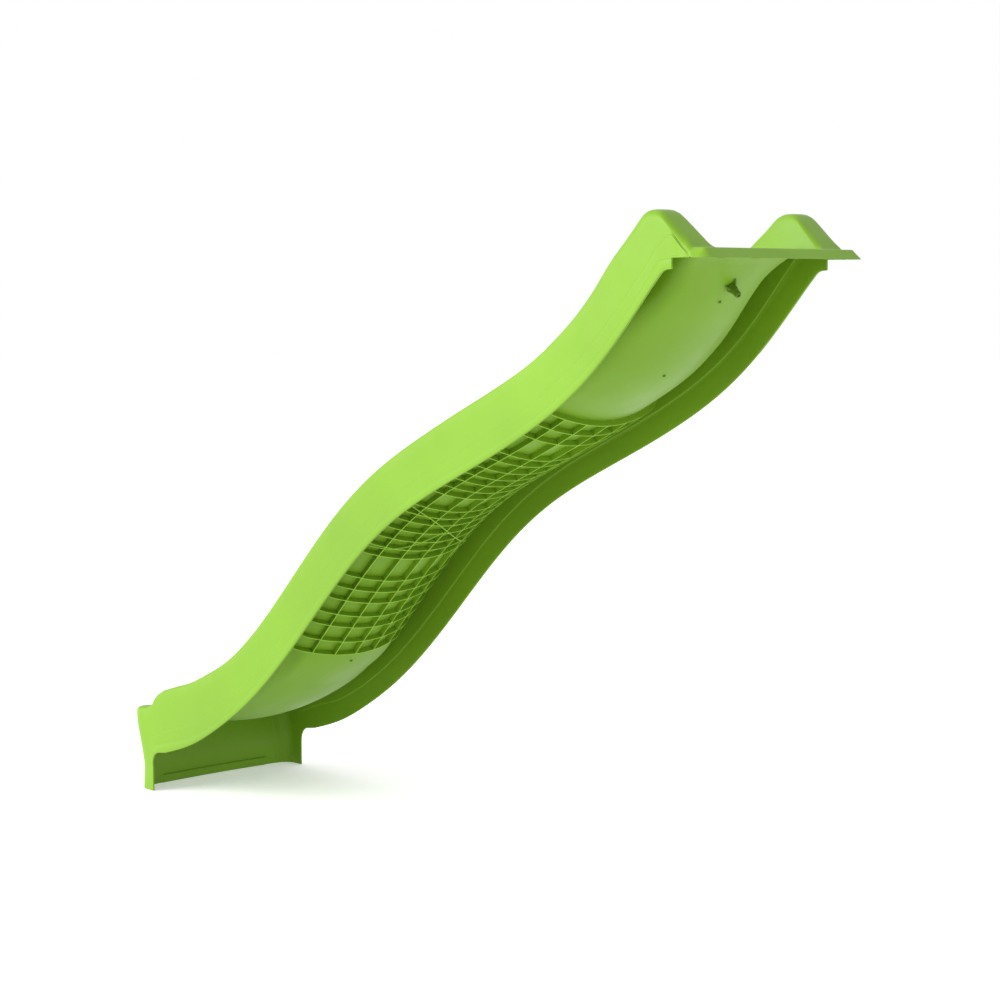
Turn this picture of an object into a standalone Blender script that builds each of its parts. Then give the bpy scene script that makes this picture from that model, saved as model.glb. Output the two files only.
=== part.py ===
# Playground wave slide for a 1.2 m platform, moulded in green plastic.
#
# Frame: metres, +Z up, +X from the exit towards the platform, +Y across.
# The origin is on the ground, below the middle of the slide. The design
# coordinate x below runs from the rear edge of the feet (x = 0) towards the
# platform, and X_MID moves it to the frame's origin.
#
# The channel is described by stations along the middle of the bed's
# underside. At each station a cross-section is laid out square to the bed:
# y across, h up from the underside of the bed.

import bpy
import bmesh
import math
import numpy as np

for old in list(bpy.data.objects):
    bpy.data.objects.remove(old, do_unlink=True)

# ------------------------------------------------------ driving dimensions
HALF_W = 0.225            # half of the outer width over the skirts
WALL = 0.004              # wall thickness of the moulding
GAP = 0.0003              # clearance between neighbouring regions
X_FRONT = -0.0880
X_REAR = 1.700            # free edge of the platform flange
X_MID = 0.5 * (X_FRONT + X_REAR)

PLATFORM_TOP = 1.2235     # top of the platform that the flange rests on
DECK_TOP = 1.242          # top of the flange
NOTCH_X = 1.6138          # vertical edge of the skirts, against the platform
NOTCH_Z = 1.2034          # lowest point of that edge

BED_RADIUS = 0.33         # crossways radius of the sliding surface
BED_HALF = 0.130          # half width of the arc, before the side fillets
SIDE_FILLET = 0.074       # fillet between the bed and the side wall
SIDE_ANGLE = 78.0         # steepness of the side wall, degrees
EXIT_ARC_R = 0.761        # run-out arc of the bed, seen from the side
EXIT_ARC_X = -0.054       # where that arc is level
EXIT_ARC_Z = 0.140        # height of the bed's underside there
CREST_R = 0.090           # roll-over from the slope to the flange

RIB_DEPTH = 0.012
RIB_T = 0.003
RIB_PITCH_Y = 0.0555
RIB_SIDE = 3              # long ribs on each side of the middle one
RIB_X0 = 0.4584           # first and last cross rib, at the middle of the bed
RIB_X1 = 1.2393
RIB_GROUPS = (7, 7, 7, 3)  # cross ribs in each group
RIB_CELLS = ((43, 48, 37, 45, 37, 38), (30, 31, 33, 34, 29, 32),
             (33, 36, 33, 37, 41, 34), (48, 45))   # cell lengths, mm
RIB_WIDE = (77, 63, 82)    # the wide cells between groups, mm

# Depth of the sides, from the skirt's edge to the rail's top, square to the
# slope, (x, depth) along the skirt's edge.
SIDE_POINTS = [
    (0.05, 0.1420), (0.10, 0.1425), (0.15, 0.1400), (0.20, 0.1331),
    (0.25, 0.1258), (0.30, 0.1192), (0.35, 0.1145), (0.40, 0.1128),
    (0.50, 0.1117), (0.60, 0.1126), (0.70, 0.1144), (0.80, 0.1161),
    (0.90, 0.1169), (1.00, 0.1178), (1.10, 0.1181), (1.20, 0.1161),
    (1.30, 0.1136), (1.40, 0.1117), (1.45, 0.1092), (1.50, 0.1085)]

# Side view of the skirts' lower edge, (x, z) every 100 mm.
SKIRT_POINTS = [
    (0.05, 0.0973), (0.15, 0.1300), (0.25, 0.1817), (0.35, 0.2466),
    (0.45, 0.3285), (0.55, 0.4253), (0.65, 0.5272), (0.75, 0.6199),
    (0.85, 0.6935), (0.95, 0.7499), (1.05, 0.7980), (1.15, 0.8451),
    (1.25, 0.8970), (1.35, 0.9594), (1.45, 1.0439), (1.55, 1.1534)]


# ------------------------------------------------------------- curve tools
def natural_spline(points):
    """Natural cubic spline through (x, z) points; gives value and slope."""
    px = np.array([p[0] for p in points], float)
    pz = np.array([p[1] for p in points], float)
    n = len(px)
    step = np.diff(px)
    a = np.zeros((n, n))
    b = np.zeros(n)
    a[0, 0] = a[-1, -1] = 1.0
    for i in range(1, n - 1):
        a[i, i - 1] = step[i - 1]
        a[i, i] = 2.0 * (step[i - 1] + step[i])
        a[i, i + 1] = step[i]
        b[i] = 6.0 * ((pz[i + 1] - pz[i]) / step[i]
                      - (pz[i] - pz[i - 1]) / step[i - 1])
    m = np.linalg.solve(a, b)

    def value(x):
        i = int(np.clip(np.searchsorted(px, x) - 1, 0, n - 2))
        t0, t1, s = x - px[i], px[i + 1] - x, step[i]
        z = ((m[i] * t1 ** 3 + m[i + 1] * t0 ** 3) / (6 * s)
             + (pz[i] / s - m[i] * s / 6) * t1
             + (pz[i + 1] / s - m[i + 1] * s / 6) * t0)
        d = ((-m[i] * t1 ** 2 + m[i + 1] * t0 ** 2) / (2 * s)
             - (pz[i] / s - m[i] * s / 6)
             + (pz[i + 1] / s - m[i + 1] * s / 6))
        return z, d
    return value


def smooth01(t):
    t = min(1.0, max(0.0, t))
    return t * t * (3 - 2 * t)


def fillet(points, radii, steps=5):
    """Round the inner corners of a polyline; radii has one per corner."""
    out = [np.array(points[0], float)]
    for i in range(1, len(points) - 1):
        p = np.array(points[i], float)
        a = np.array(points[i - 1], float) - p
        b = np.array(points[i + 1], float) - p
        la, lb = np.linalg.norm(a), np.linalg.norm(b)
        a, b = a / la, b / lb
        half = 0.5 * math.acos(float(np.clip(a @ b, -1, 1)))
        r = radii[i - 1]
        if r <= 0 or half > math.radians(89.5):
            out.append(p)
            continue
        cut = min(r / math.tan(half), 0.48 * la, 0.48 * lb)
        r = cut * math.tan(half)
        mid = (a + b) / np.linalg.norm(a + b)
        centre = p + mid * r / math.sin(half)
        v0, v1 = p + a * cut - centre, p + b * cut - centre
        sweep = math.acos(float(np.clip((v0 @ v1) / (r * r), -1, 1)))
        for k in range(steps + 1):
            t = k / steps
            v = (math.sin((1 - t) * sweep) * v0 + math.sin(t * sweep) * v1)
            out.append(centre + v / math.sin(sweep))
    out.append(np.array(points[-1], float))
    return out


skirt = natural_spline(SKIRT_POINTS)


def skirt_frame(x):
    z, s = skirt(x)
    n = np.array([-s, 1.0]) / math.hypot(s, 1.0)
    return np.array([x, z]), n


_side = natural_spline(SIDE_POINTS)


def side_depth(x):
    return _side(x)[0]


def rib_rise(x):
    """Height of the ribs' free edge above the skirts' lower edge."""
    w = 0.20 if x < 0.64 else 0.27
    return 0.0015 + 0.0123 * math.exp(-((x - 0.64) / w) ** 2)


def bed_rise(x):
    """Height of the underside of the bed above the skirts' lower edge."""
    if x <= 1.2387:
        return rib_rise(x) + RIB_DEPTH
    return 0.0055 + (rib_rise(1.2387) + RIB_DEPTH - 0.0055) * \
        smooth01((1.40 - x) / (1.40 - 1.2387))


# -------------------------------------------------- middle line of the bed
def bed_line():
    """Underside of the bed at y = 0, from the exit to the flange."""
    pts = []
    for x in np.linspace(EXIT_ARC_X - 0.040, EXIT_ARC_X, 5)[:-1]:
        pts.append((x, EXIT_ARC_Z))
    for x in np.linspace(EXIT_ARC_X, 0.33, 24):
        dx = x - EXIT_ARC_X
        pts.append((x, EXIT_ARC_Z + EXIT_ARC_R
                    - math.sqrt(EXIT_ARC_R ** 2 - dx ** 2)))
    blend0, blend1 = 0.345, 0.52
    for x in np.arange(0.345, 1.561, 0.015):
        p, n = skirt_frame(x)
        low = 0.0075 if x < 0.46 else 0.0
        rise = bed_rise(x)
        if x < blend1:
            t = smooth01((x - blend0) / (blend1 - blend0))
            rise = 0.0078 * (1 - t) + rise * t
        pts.append(tuple(p + n * rise))
    pts = [np.array(p, float) for p in pts]
    # straight on along the last slope, then round the crest
    d = pts[-1] - pts[-2]
    d /= np.linalg.norm(d)
    ang = math.atan2(d[1], d[0])
    drop = CREST_R * (1 - math.cos(ang))
    run = ((DECK_TOP - WALL - drop) - pts[-1][1]) / d[1]
    start = pts[-1] + d * run
    centre = start + CREST_R * np.array([math.sin(ang), -math.cos(ang)])
    pts.append(pts[-1] + d * run * 0.5)
    for k in range(13):
        a = ang * (1 - k / 12)
        pts.append(centre + CREST_R * np.array([-math.sin(a), math.cos(a)]))
    return np.array(pts)


LINE = bed_line()
ARC = np.concatenate([[0], np.cumsum(np.linalg.norm(np.diff(LINE, axis=0),
                                                    axis=1))])
S_END = float(ARC[-1])


def bed_point(s):
    return np.array([np.interp(s, ARC, LINE[:, 0]),
                     np.interp(s, ARC, LINE[:, 1])])


def bed_normal(s):
    a, b = bed_point(max(0, s - 0.012)), bed_point(min(S_END, s + 0.012))
    t = (b - a) / np.linalg.norm(b - a)
    return np.array([-t[1], t[0]])


def s_at_x(x):
    return float(np.interp(x, LINE[:, 0], ARC))


# ----------------------------------------------- top line of the side rails
def rail_line():
    pts = [(-0.1000, 0.1880), (-0.0700, 0.1905), (-0.0450, 0.1935),
           (-0.0200, 0.1965), (-0.0080, 0.2040), (0.0040, 0.2200),
           (0.0140, 0.2300), (0.0250, 0.2362)]
    for x in np.arange(0.050, 1.5001, 0.025):
        p, n = skirt_frame(x)
        pts.append(tuple(p + n * side_depth(x)))
    hump = fillet([(1.4639, 1.2220), (1.5451, 1.3137), (1.5770, 1.3137),
                   (1.6570, 1.2425)], [0.038, 0.033], 5)
    pts += [tuple(p) for p in hump]
    return np.array(pts)


RAIL = rail_line()


def rail_height(s):
    """Height of the rail above the bed's underside, along the normal."""
    p, n = bed_point(s), bed_normal(s)
    best = None
    for a, b in zip(RAIL[:-1], RAIL[1:]):
        e = b - a
        det = n[0] * (-e[1]) + n[1] * e[0]
        if abs(det) < 1e-12:
            continue
        w = a - p
        t = (w[0] * (-e[1]) + w[1] * e[0]) / det
        u = (n[0] * w[1] - n[1] * w[0]) / det
        if -1e-6 <= u <= 1 + 1e-6 and 0 < t < 0.2:
            best = t if best is None else min(best, t)
    return best


def place(s, y, h):
    p, n = bed_point(s), bed_normal(s)
    q = p + n * h
    return (q[0], y, q[1])


# --------------------------------------------------- crossways cross-section
class Form(float):
    """How hollow the bed is, with how far it has narrowed for the humps."""
    def __new__(cls, m, nw=0.0):
        form = float.__new__(cls, m)
        form.nw = nw
        return form


def profile(m=1.0, nw=0.0, samples=60):
    """Underside of the channel from the middle of the bed up the side wall.
    m is 1 in the hollow bed and 0 where the bed is flat with tight sides.
    Gives rows of arc length, y, h and the normal into the channel."""
    flat_half, flat_rad = 0.158 - 0.040 * nw, 0.014 + 0.020 * nw
    half = flat_half + (BED_HALF - 0.024 * nw - flat_half) * m
    rad = flat_rad + (SIDE_FILLET - 0.034 * nw - flat_rad) * m
    a0 = math.atan(m * half / BED_RADIUS)
    a1 = math.radians(SIDE_ANGLE)
    rows = []
    for k in range(samples + 1):
        y = half * k / samples
        g = m * y / BED_RADIUS
        q = math.hypot(g, 1.0)
        rows.append((y, m * y * y / (2 * BED_RADIUS), -g / q, 1 / q))
    y0, h0 = rows[-1][:2]
    cy, ch = y0 - rad * math.sin(a0), h0 + rad * math.cos(a0)
    for k in range(1, samples + 1):
        a = a0 + (a1 - a0) * k / samples
        rows.append((cy + rad * math.sin(a), ch - rad * math.cos(a),
                     -math.sin(a), math.cos(a)))
    y1, h1 = rows[-1][:2]
    for k in range(1, 9):
        d = 0.16 * k / 8
        rows.append((y1 + d * math.cos(a1), h1 + d * math.sin(a1),
                     -math.sin(a1), math.cos(a1)))
    rows = np.array(rows)
    arc = np.concatenate([[0], np.cumsum(np.hypot(np.diff(rows[:, 0]),
                                                  np.diff(rows[:, 1])))])
    return np.column_stack([arc, rows])


PROFILES = {}


def table_for(m):
    key = (round(float(m), 3), round(getattr(m, "nw", 0.0), 3))
    if key not in PROFILES:
        PROFILES[key] = profile(*key)
    return PROFILES[key]


def prof(a, off=0.0, m=1.0):
    t = table_for(m)
    b = abs(a)
    y, h, ny, nh = (float(np.interp(b, t[:, 0], t[:, i])) for i in range(1, 5))
    return math.copysign(1.0, a) * (y + off * ny), h + off * nh


def wall_arc(h, off=0.0, m=1.0):
    """Arc length at which the offset profile reaches height h."""
    t = table_for(m)
    hh = t[:, 2] + off * t[:, 4]
    return float(np.interp(h, hh[60:], t[60:, 0]))


S_CRESTING = s_at_x(1.55)


def hollow(s):
    """How hollow the bed is: 1 on the slope, less at the exit and crest."""
    x = bed_point(s)[0]
    if x < 0.2:
        return Form(round(1.0 - 0.55 * smooth01((0.12 - x) / 0.20), 3))
    return Form(
        round(1.0 - smooth01((s - S_CRESTING) / (S_END - S_CRESTING)), 3),
        round(smooth01((x - 1.430) / 0.110), 3))


# ---------------------------------------------------------------- meshing
GREEN = (0.40, 0.76, 0.10)
BLACK = (0.03, 0.03, 0.03)


def add_object(name, bm, color=GREEN, rough=0.35):
    bmesh.ops.recalc_face_normals(bm, faces=bm.faces)
    mesh = bpy.data.meshes.new(name)
    bm.to_mesh(mesh)
    bm.free()
    obj = bpy.data.objects.new(name, mesh)
    bpy.context.scene.collection.objects.link(obj)
    mat = bpy.data.materials.new(name + "_finish")
    mat.use_nodes = True
    bsdf = mat.node_tree.nodes["Principled BSDF"]
    bsdf.inputs["Base Color"].default_value = (*color, 1.0)
    bsdf.inputs["Roughness"].default_value = rough
    bsdf.inputs["Metallic"].default_value = 0.0
    mesh.materials.append(mat)
    mesh.shade_smooth()
    mesh.set_sharp_from_angle(angle=math.radians(40))
    return obj


def shift(p):
    return (p[0] - X_MID, p[1], p[2])


def sweep(bm, rings):
    """Closed tube through rings of equal length, capped at both ends."""
    loops = [[bm.verts.new(shift(p)) for p in ring] for ring in rings]
    n = len(loops[0])
    for a, b in zip(loops[:-1], loops[1:]):
        for i in range(n):
            bm.faces.new((a[i], a[(i + 1) % n], b[(i + 1) % n], b[i]))
    for loop in (loops[0], loops[-1]):
        for i in range(n // 2 - 1):
            bm.faces.new((loop[i], loop[i + 1], loop[n - 2 - i],
                          loop[n - 1 - i]))


def strip_ring(s, lower, upper, sign=1.0, bend=None):
    """Ring at station s from two open lists of (y, h) of equal length."""
    ring = []
    for y, h in list(lower) + list(reversed(upper)):
        x, yy, z = place(s, sign * y, h)
        if bend is not None:
            x = bend(yy, z)
        ring.append((x, yy, z))
    return ring


def extrude_outline(bm, outline, y0, y1):
    """Flat plate from a side-view outline (x, z), between y0 and y1."""
    a = [bm.verts.new(shift((p[0], y0, p[1]))) for p in outline]
    b = [bm.verts.new(shift((p[0], y1, p[1]))) for p in outline]
    bm.faces.new(a)
    bm.faces.new(list(reversed(b)))
    n = len(a)
    for i in range(n):
        bm.faces.new((a[i], b[i], b[(i + 1) % n], a[(i + 1) % n]))


# ------------------------------------------------------ plan of the exit
CORNER_R = 0.040
BULGE = 0.0070
front_lean = natural_spline([
    (0.000, -0.0605), (0.030, -0.0585), (0.057, -0.0580), (0.090, -0.0650),
    (0.125, -0.0752), (0.155, -0.0835), (0.200, -0.0842)])


def front_x(y, z, inset=0.0):
    """Outer face of the exit wall, as x, inset by the wall's thickness."""
    base = front_lean(min(z, 0.2))[0]
    r = CORNER_R - inset
    yc = HALF_W - CORNER_R
    if abs(y) <= yc:
        return base + inset - BULGE * (1 - (y / yc) ** 2)
    d = min(abs(y) - yc, r * 0.9999)
    return base + CORNER_R - math.sqrt(r * r - d * d)


def side_y(x, z, inset=0.0):
    """Outer face of the corner, as y, at design coordinate x."""
    base = front_lean(min(z, 0.2))[0]
    r = CORNER_R - inset
    d = base + CORNER_R - x
    if d <= 0:
        return HALF_W - inset
    return HALF_W - CORNER_R + math.sqrt(max(0.0, r * r - min(d, r) ** 2))


# ------------------------------------------------------------- bed regions
T2 = 0.5 * RIB_T
S_FRONT = s_at_x(-0.0700)
S_RIB0 = s_at_x(RIB_X0)
S_RIB1 = s_at_x(RIB_X1)
S_CREST = s_at_x(1.588)
ARCS = [0.0, 0.0555, 0.1110, 0.13875, 0.1665, 0.1780]
BED_EDGE = 0.1780          # arc length at which the side wall takes over


def arcs_at(s):
    """Arc positions of the bed's vertices; closer where its sides are low."""
    m = hollow(s)
    full = BED_EDGE - 0.044 * m.nw
    edge = full
    if m < 1 and s < S_RIB0:
        t = (m - 0.45) / 0.55
        edge = wall_arc(0.026, WALL, 0.45) * (1 - t) + full * t
    elif m < 1:
        edge = wall_arc(0.0065, WALL, Form(0.0, m.nw)) * (1 - m) + full * m
    return [a * edge / BED_EDGE for a in ARCS]


def rib_stations():
    """Stations of the cross ribs."""
    cells = []
    for g in range(len(RIB_GROUPS)):
        cells += RIB_CELLS[g]
        if g < len(RIB_WIDE):
            cells.append(RIB_WIDE[g])
    cells = np.array(cells) * (S_RIB1 - S_RIB0) / sum(cells)
    return S_RIB0 + np.concatenate([[0], np.cumsum(cells)])


RIBS = rib_stations()
WIDE_AT = np.cumsum(RIB_GROUPS)[:-1]
WIDE_MID = [0.5 * (RIBS[i - 1] + RIBS[i]) for i in WIDE_AT]


# Stations shared by every region, so that their seams run side by side.
S_RAIL0 = S_FRONT
S_HUMP = s_at_x(1.535)
S_HUMP_END = s_at_x(1.6405)
SEAMS = [S_RIB0 - T2, S_RIB1 + T2, S_HUMP, S_CREST]
STATIONS = sorted(
    [s_at_x(x) for x in (-0.055, -0.035, -0.020, -0.008, 0.004, 0.014, 0.025,
                         0.045)]
    + list(np.linspace(s_at_x(0.045), S_RIB0 - T2, 11)[1:-1])
    + list(RIBS[1:-1]) + WIDE_MID
    + list(np.linspace(S_RIB1 + T2, S_HUMP, 9)[1:-1])
    + list(np.linspace(S_HUMP, S_CREST, 5)[1:-1])
    + list(np.linspace(S_CREST, S_HUMP_END, 6)[1:-1])
    + SEAMS)


def between(a, b):
    """Shared stations from a to b, pulled in by half a gap at each end."""
    g = 0.5 * GAP
    return [a + g] + [s for s in STATIONS if a + 0.001 < s < b - 0.001] + \
        [b - g]


def bed_sheet(name, stations, under=None, bend_first=None):
    bm = bmesh.new()
    rings = []
    for i, s in enumerate(stations):
        m = hollow(s)
        arcs = arcs_at(s)
        arcs = [-a for a in reversed(arcs[1:])] + arcs
        d = under(s) if under else 0.0
        low = [prof(a, -d * smooth01((0.1500 - abs(a)) / 0.03), m)
               for a in arcs]
        top = [prof(a, WALL, m) for a in arcs]
        rings.append(strip_ring(s, low, top, 1.0,
                                bend_first if i == 0 else None))
    sweep(bm, rings)
    return add_object(name, bm)


def lower_extra(s):
    """The smooth lower bed thickens until it is flush with the ribs."""
    return (RIB_DEPTH - 0.0005) * smooth01((bed_point(s)[0] - 0.36) / 0.09)


S_EXIT = s_at_x(0.025)     # behind the upright part of the exit
bed_sheet("bed_exit", between(S_FRONT, S_EXIT),
          lower_extra, lambda y, z: front_x(y, z, WALL) + 0.0015)
bed_sheet("bed_lower", between(S_EXIT, S_RIB0 - T2), lower_extra)
bed_sheet("bed_middle", between(S_RIB0 - T2, S_RIB1 + T2))
upper = bed_sheet("bed_upper", between(S_RIB1 + T2, S_CREST))
bed_sheet("bed_crest", between(S_CREST, S_HUMP_END) + [S_END])


# ---------------------------------------------------- side walls and rails
RAIL_IN = 0.0135           # fillet between the side wall and the rail top
RAIL_OUT = 0.009           # fillet between the rail top and the skirt
SEAM = 0.0135              # the rail meets the skirt this far below its top


def wall_ring(s, sign):
    """Side wall from the edge of the bed up to the rail."""
    m = hollow(s)
    a0 = arcs_at(s)[-1] + 0.0006
    a3 = wall_arc(rail_height(s) - RAIL_IN - GAP, WALL, m)
    arcs = [a0, a0 + 0.35 * (a3 - a0), a3]
    return strip_ring(s, [prof(a, 0.0, m) for a in arcs],
                      [prof(a, WALL, m) for a in arcs], sign)


def rail_curve(s, rail_in=RAIL_IN, steps=1):
    """Outer and inner outline of the rail top, as (y, h)."""
    m = hollow(s)
    rh = rail_height(s)
    y_in = prof(wall_arc(rh - rail_in, WALL, m), WALL, m)[0]
    x, _, z = place(s, 0, rh)
    y_out = side_y(x, z)
    outer, inner = [], []
    cy, ch = y_in + rail_in, rh - rail_in
    for k in range(steps + 1):
        a = math.pi * 0.5 * k / steps
        r = rail_in - WALL
        outer.append((cy - rail_in * math.cos(a), ch + rail_in * math.sin(a)))
        inner.append((cy - r * math.cos(a), ch + r * math.sin(a)))
    cy, ch = y_out - RAIL_OUT, rh - RAIL_OUT
    for k in range(3):
        a = math.pi * 0.5 * k / 2
        r = RAIL_OUT - WALL
        outer.append((cy + RAIL_OUT * math.sin(a),
                      ch + RAIL_OUT * math.cos(a)))
        inner.append((cy + r * math.sin(a), ch + r * math.cos(a)))
    outer.append((y_out, rh - SEAM))
    inner.append((y_out - WALL, rh - SEAM))
    return outer, inner


side_stations = between(S_RAIL0, S_HUMP)
hump_stations = between(S_HUMP, S_HUMP_END)
for side, sign in (("left", -1.0), ("right", 1.0)):
    bm = bmesh.new()
    sweep(bm, [wall_ring(s, sign) for s in side_stations])
    add_object("side_wall_" + side, bm)

    bm = bmesh.new()
    rings = []
    for s in side_stations:
        outer, inner = rail_curve(s)
        rings.append(strip_ring(s, outer, inner, sign))
    sweep(bm, rings)
    add_object("rail_" + side, bm)

    # the hump beside the entry: side wall and rail in one
    bm = bmesh.new()
    rings = []
    for s in hump_stations:
        m = hollow(s)
        grow = smooth01((bed_point(s)[0] - 1.535) / 0.045)
        outer, inner = rail_curve(
            s, min(RAIL_IN + 0.020 * grow, 0.5 * rail_height(s)), 3)
        a0 = arcs_at(s)[-1] + 0.0012
        a3 = wall_arc(outer[0][1] - 0.0015, WALL, m)
        arcs = [a0, 0.5 * (a0 + a3)]
        rings.append(strip_ring(
            s, [prof(a, WALL, m) for a in arcs] + outer,
            [prof(a, 0.0, m) for a in arcs] + inner, sign))
    sweep(bm, rings)
    add_object("start_hump_" + side, bm)


# ------------------------------------------------------------------ skirts
def seam_line():
    """Side view of the seam between the rails and the skirts."""
    pts = []
    for s in side_stations + hump_stations:
        x, _, z = place(s, 0, rail_height(s) - SEAM - GAP)
        pts.append((x, z))
    return pts


SEAM_LINE = seam_line()
X_SKIRT = -0.0160          # the skirt plate starts behind the corner

lower = [p for p in fillet([(0.0, 0.0), (0.0, 0.0905), (0.0500, 0.0973)],
                           [0.026], 4)][:-1]
for x in np.arange(0.05, 1.5501, 0.05):
    lower.append(np.array([x, skirt(x)[0]]))
lower += fillet([(1.5600, 1.1650), (1.5935, 1.2015), (NOTCH_X, NOTCH_Z)],
                [0.030], 4)
lower += [(NOTCH_X, NOTCH_Z + 0.0001), (NOTCH_X, PLATFORM_TOP),
          (1.6540, PLATFORM_TOP)]
lower = [tuple(p) for p in lower]
del lower[-4]

top = [p for p in SEAM_LINE if p[0] > X_SKIRT + 0.004]
first = np.interp(X_SKIRT, [p[0] for p in SEAM_LINE],
                  [p[1] for p in SEAM_LINE])
outline = [(X_SKIRT, 0.0)] + lower + list(reversed(top)) + \
    [(X_SKIRT, float(first))]
for side, sign in (("left", -1.0), ("right", 1.0)):
    bm = bmesh.new()
    extrude_outline(bm, outline, sign * (HALF_W - WALL), sign * HALF_W)
    add_object("skirt_" + side, bm)


# ----------------------------------------------------- exit wall and feet
def band(bm, columns):
    """Upright wall through columns, each (outer points, inner points)."""
    rings = [list(o) + list(reversed(i)) for o, i in columns]
    sweep(bm, rings)


def bed_top_z(y):
    """Top of the bed at the exit, where the front wall ends."""
    m = hollow(S_FRONT)
    a = np.linspace(0, BED_EDGE, 40)
    pts = [prof(v, WALL, m) for v in a]
    return EXIT_ARC_Z + float(np.interp(abs(y), [p[0] for p in pts],
                                        [p[1] for p in pts]))


Y_FOOT = 0.172
bm = bmesh.new()
cols = []
for y in np.linspace(-Y_FOOT, Y_FOOT, 11):
    zt = min(bed_top_z(y), 0.1700)
    zs = [zt * k / 4 for k in range(5)]
    cols.append(([(front_x(y, z), y, z) for z in zs],
                 [(front_x(y, z, WALL), y, z) for z in zs]))
band(bm, cols)
add_object("exit_wall", bm)

seam_x = [p[0] for p in SEAM_LINE]
seam_z = [p[1] for p in SEAM_LINE]
for side, sign in (("left", -1.0), ("right", 1.0)):
    bm = bmesh.new()
    cols = []
    n = 7
    for k in range(n + 1):
        # from the skirt plate, round the corner, to the exit wall
        def at(z, inset, k=k):
            base = front_lean(min(z, 0.2))[0]
            r = CORNER_R - inset
            if k == 0:
                return X_SKIRT - GAP, HALF_W - inset
            if k == n:
                y = Y_FOOT + GAP
                return front_x(y, z, inset), y
            ang = math.radians(90.0 * (k - 1) / (n - 2))
            return (base + CORNER_R - r * math.sin(ang),
                    HALF_W - CORNER_R + r * math.cos(ang))
        x_top = at(0.17, 0.0)[0]
        zt = float(np.interp(x_top, seam_x, seam_z)) - 0.0022 if k < n else 0.17
        zs = [zt * j / 4 for j in range(5)]
        out = [(at(z, 0.0)[0], sign * at(z, 0.0)[1], z) for z in zs]
        inn = [(at(z, WALL)[0], sign * at(z, WALL)[1], z) for z in zs]
        cols.append((out, inn))
    band(bm, cols)
    add_object("foot_" + side, bm)


# ------------------------------------------------------ flange and its lip
LIP_RUN = 0.018            # how far the lip slopes out
LIP_X = X_REAR - LIP_RUN
LIP_Y = 0.214
LIP_R = 0.005
X_DECK = bed_point(S_END)[0] + GAP

path = []                  # plan of the deck's edge, with outward normals
path.append(((X_DECK, -LIP_Y), (0.0, -1.0)))
for sy in (-1.0, 1.0):
    steps = range(6) if sy < 0 else range(5, -1, -1)
    for k in steps:
        a = math.radians(90.0 * k / 5)
        nx, ny = math.sin(a), sy * math.cos(a)
        path.append(((LIP_X - LIP_R + LIP_R * nx,
                      sy * (LIP_Y - LIP_R) + LIP_R * ny), (nx, ny)))
path.append(((X_DECK, LIP_Y), (0.0, 1.0)))

bm = bmesh.new()
rings = []
for (px, py), (nx, ny) in path:
    def q(d, z):
        return (px + nx * d, py + ny * d, z)
    rings.append([q(-0.0040, DECK_TOP), q(0.0, DECK_TOP),
                  q(LIP_RUN, PLATFORM_TOP), q(LIP_RUN - 0.0055, PLATFORM_TOP),
                  q(-0.0004, DECK_TOP - WALL), q(-0.0040, DECK_TOP - WALL)])
sweep(bm, rings)
add_object("flange_lip", bm)

bm = bmesh.new()
plan = [(px - nx * 0.0043, py - ny * 0.0043) for (px, py), (nx, ny) in path]
plan = [(X_DECK, plan[0][1])] + plan[1:-1] + [(X_DECK, plan[-1][1])]
a = [bm.verts.new(shift((x, y, DECK_TOP - WALL))) for x, y in plan]
b = [bm.verts.new(shift((x, y, DECK_TOP))) for x, y in plan]
bm.faces.new(a)
bm.faces.new(list(reversed(b)))
for i in range(len(a)):
    j = (i + 1) % len(a)
    bm.faces.new((a[i], b[i], b[j], a[j]))
deck = add_object("flange_deck", bm)

# fixing holes through the deck, each with a boss that reaches the platform
HOLE_R = 0.0035
BOSS_R = 0.0080
HOLE_X = X_DECK + 0.0098
HOLE_Y = (-0.150, -0.055, 0.055, 0.150)


def disc_ring(bm, centre, axis_u, axis_v, r, n):
    return [bm.verts.new(tuple(centre[i] + r * (
        math.cos(2 * math.pi * k / n) * axis_u[i]
        + math.sin(2 * math.pi * k / n) * axis_v[i]) for i in range(3)))
        for k in range(n)]


def turned(bm, origin, axis, rows, n=20, bore=False):
    """Turned piece from (distance along the axis, radius) rows; a bored
    piece gives its rows as a closed outline."""
    axis = np.array(axis, float) / np.linalg.norm(axis)
    u = np.cross(axis, (0.0, 1.0, 0.0))
    u = u / np.linalg.norm(u)
    v = np.cross(axis, u)
    rings = [disc_ring(bm, np.array(origin) + axis * d, u, v, r, n)
             for d, r in rows]
    pairs = list(zip(rings, rings[1:] + ([rings[0]] if bore else [])))
    if not bore:
        pairs = list(zip(rings[:-1], rings[1:]))
    for a, b in pairs:
        for i in range(n):
            j = (i + 1) % n
            bm.faces.new((a[i], a[j], b[j], b[i]))
    if not bore:
        bm.faces.new(rings[0])
        bm.faces.new(list(reversed(rings[-1])))


def cut(obj, name, origin, axis, length, r, n=20):
    bm = bmesh.new()
    turned(bm, origin, axis, [(0, r), (length, r)], n)
    bmesh.ops.recalc_face_normals(bm, faces=bm.faces)
    mesh = bpy.data.meshes.new(name)
    bm.to_mesh(mesh)
    bm.free()
    tool = bpy.data.objects.new(name, mesh)
    bpy.context.scene.collection.objects.link(tool)
    tool.hide_render = True
    tool.display_type = 'WIRE'
    mod = obj.modifiers.new(name, 'BOOLEAN')
    mod.operation = 'DIFFERENCE'
    mod.solver = 'EXACT'
    mod.object = tool


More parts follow.
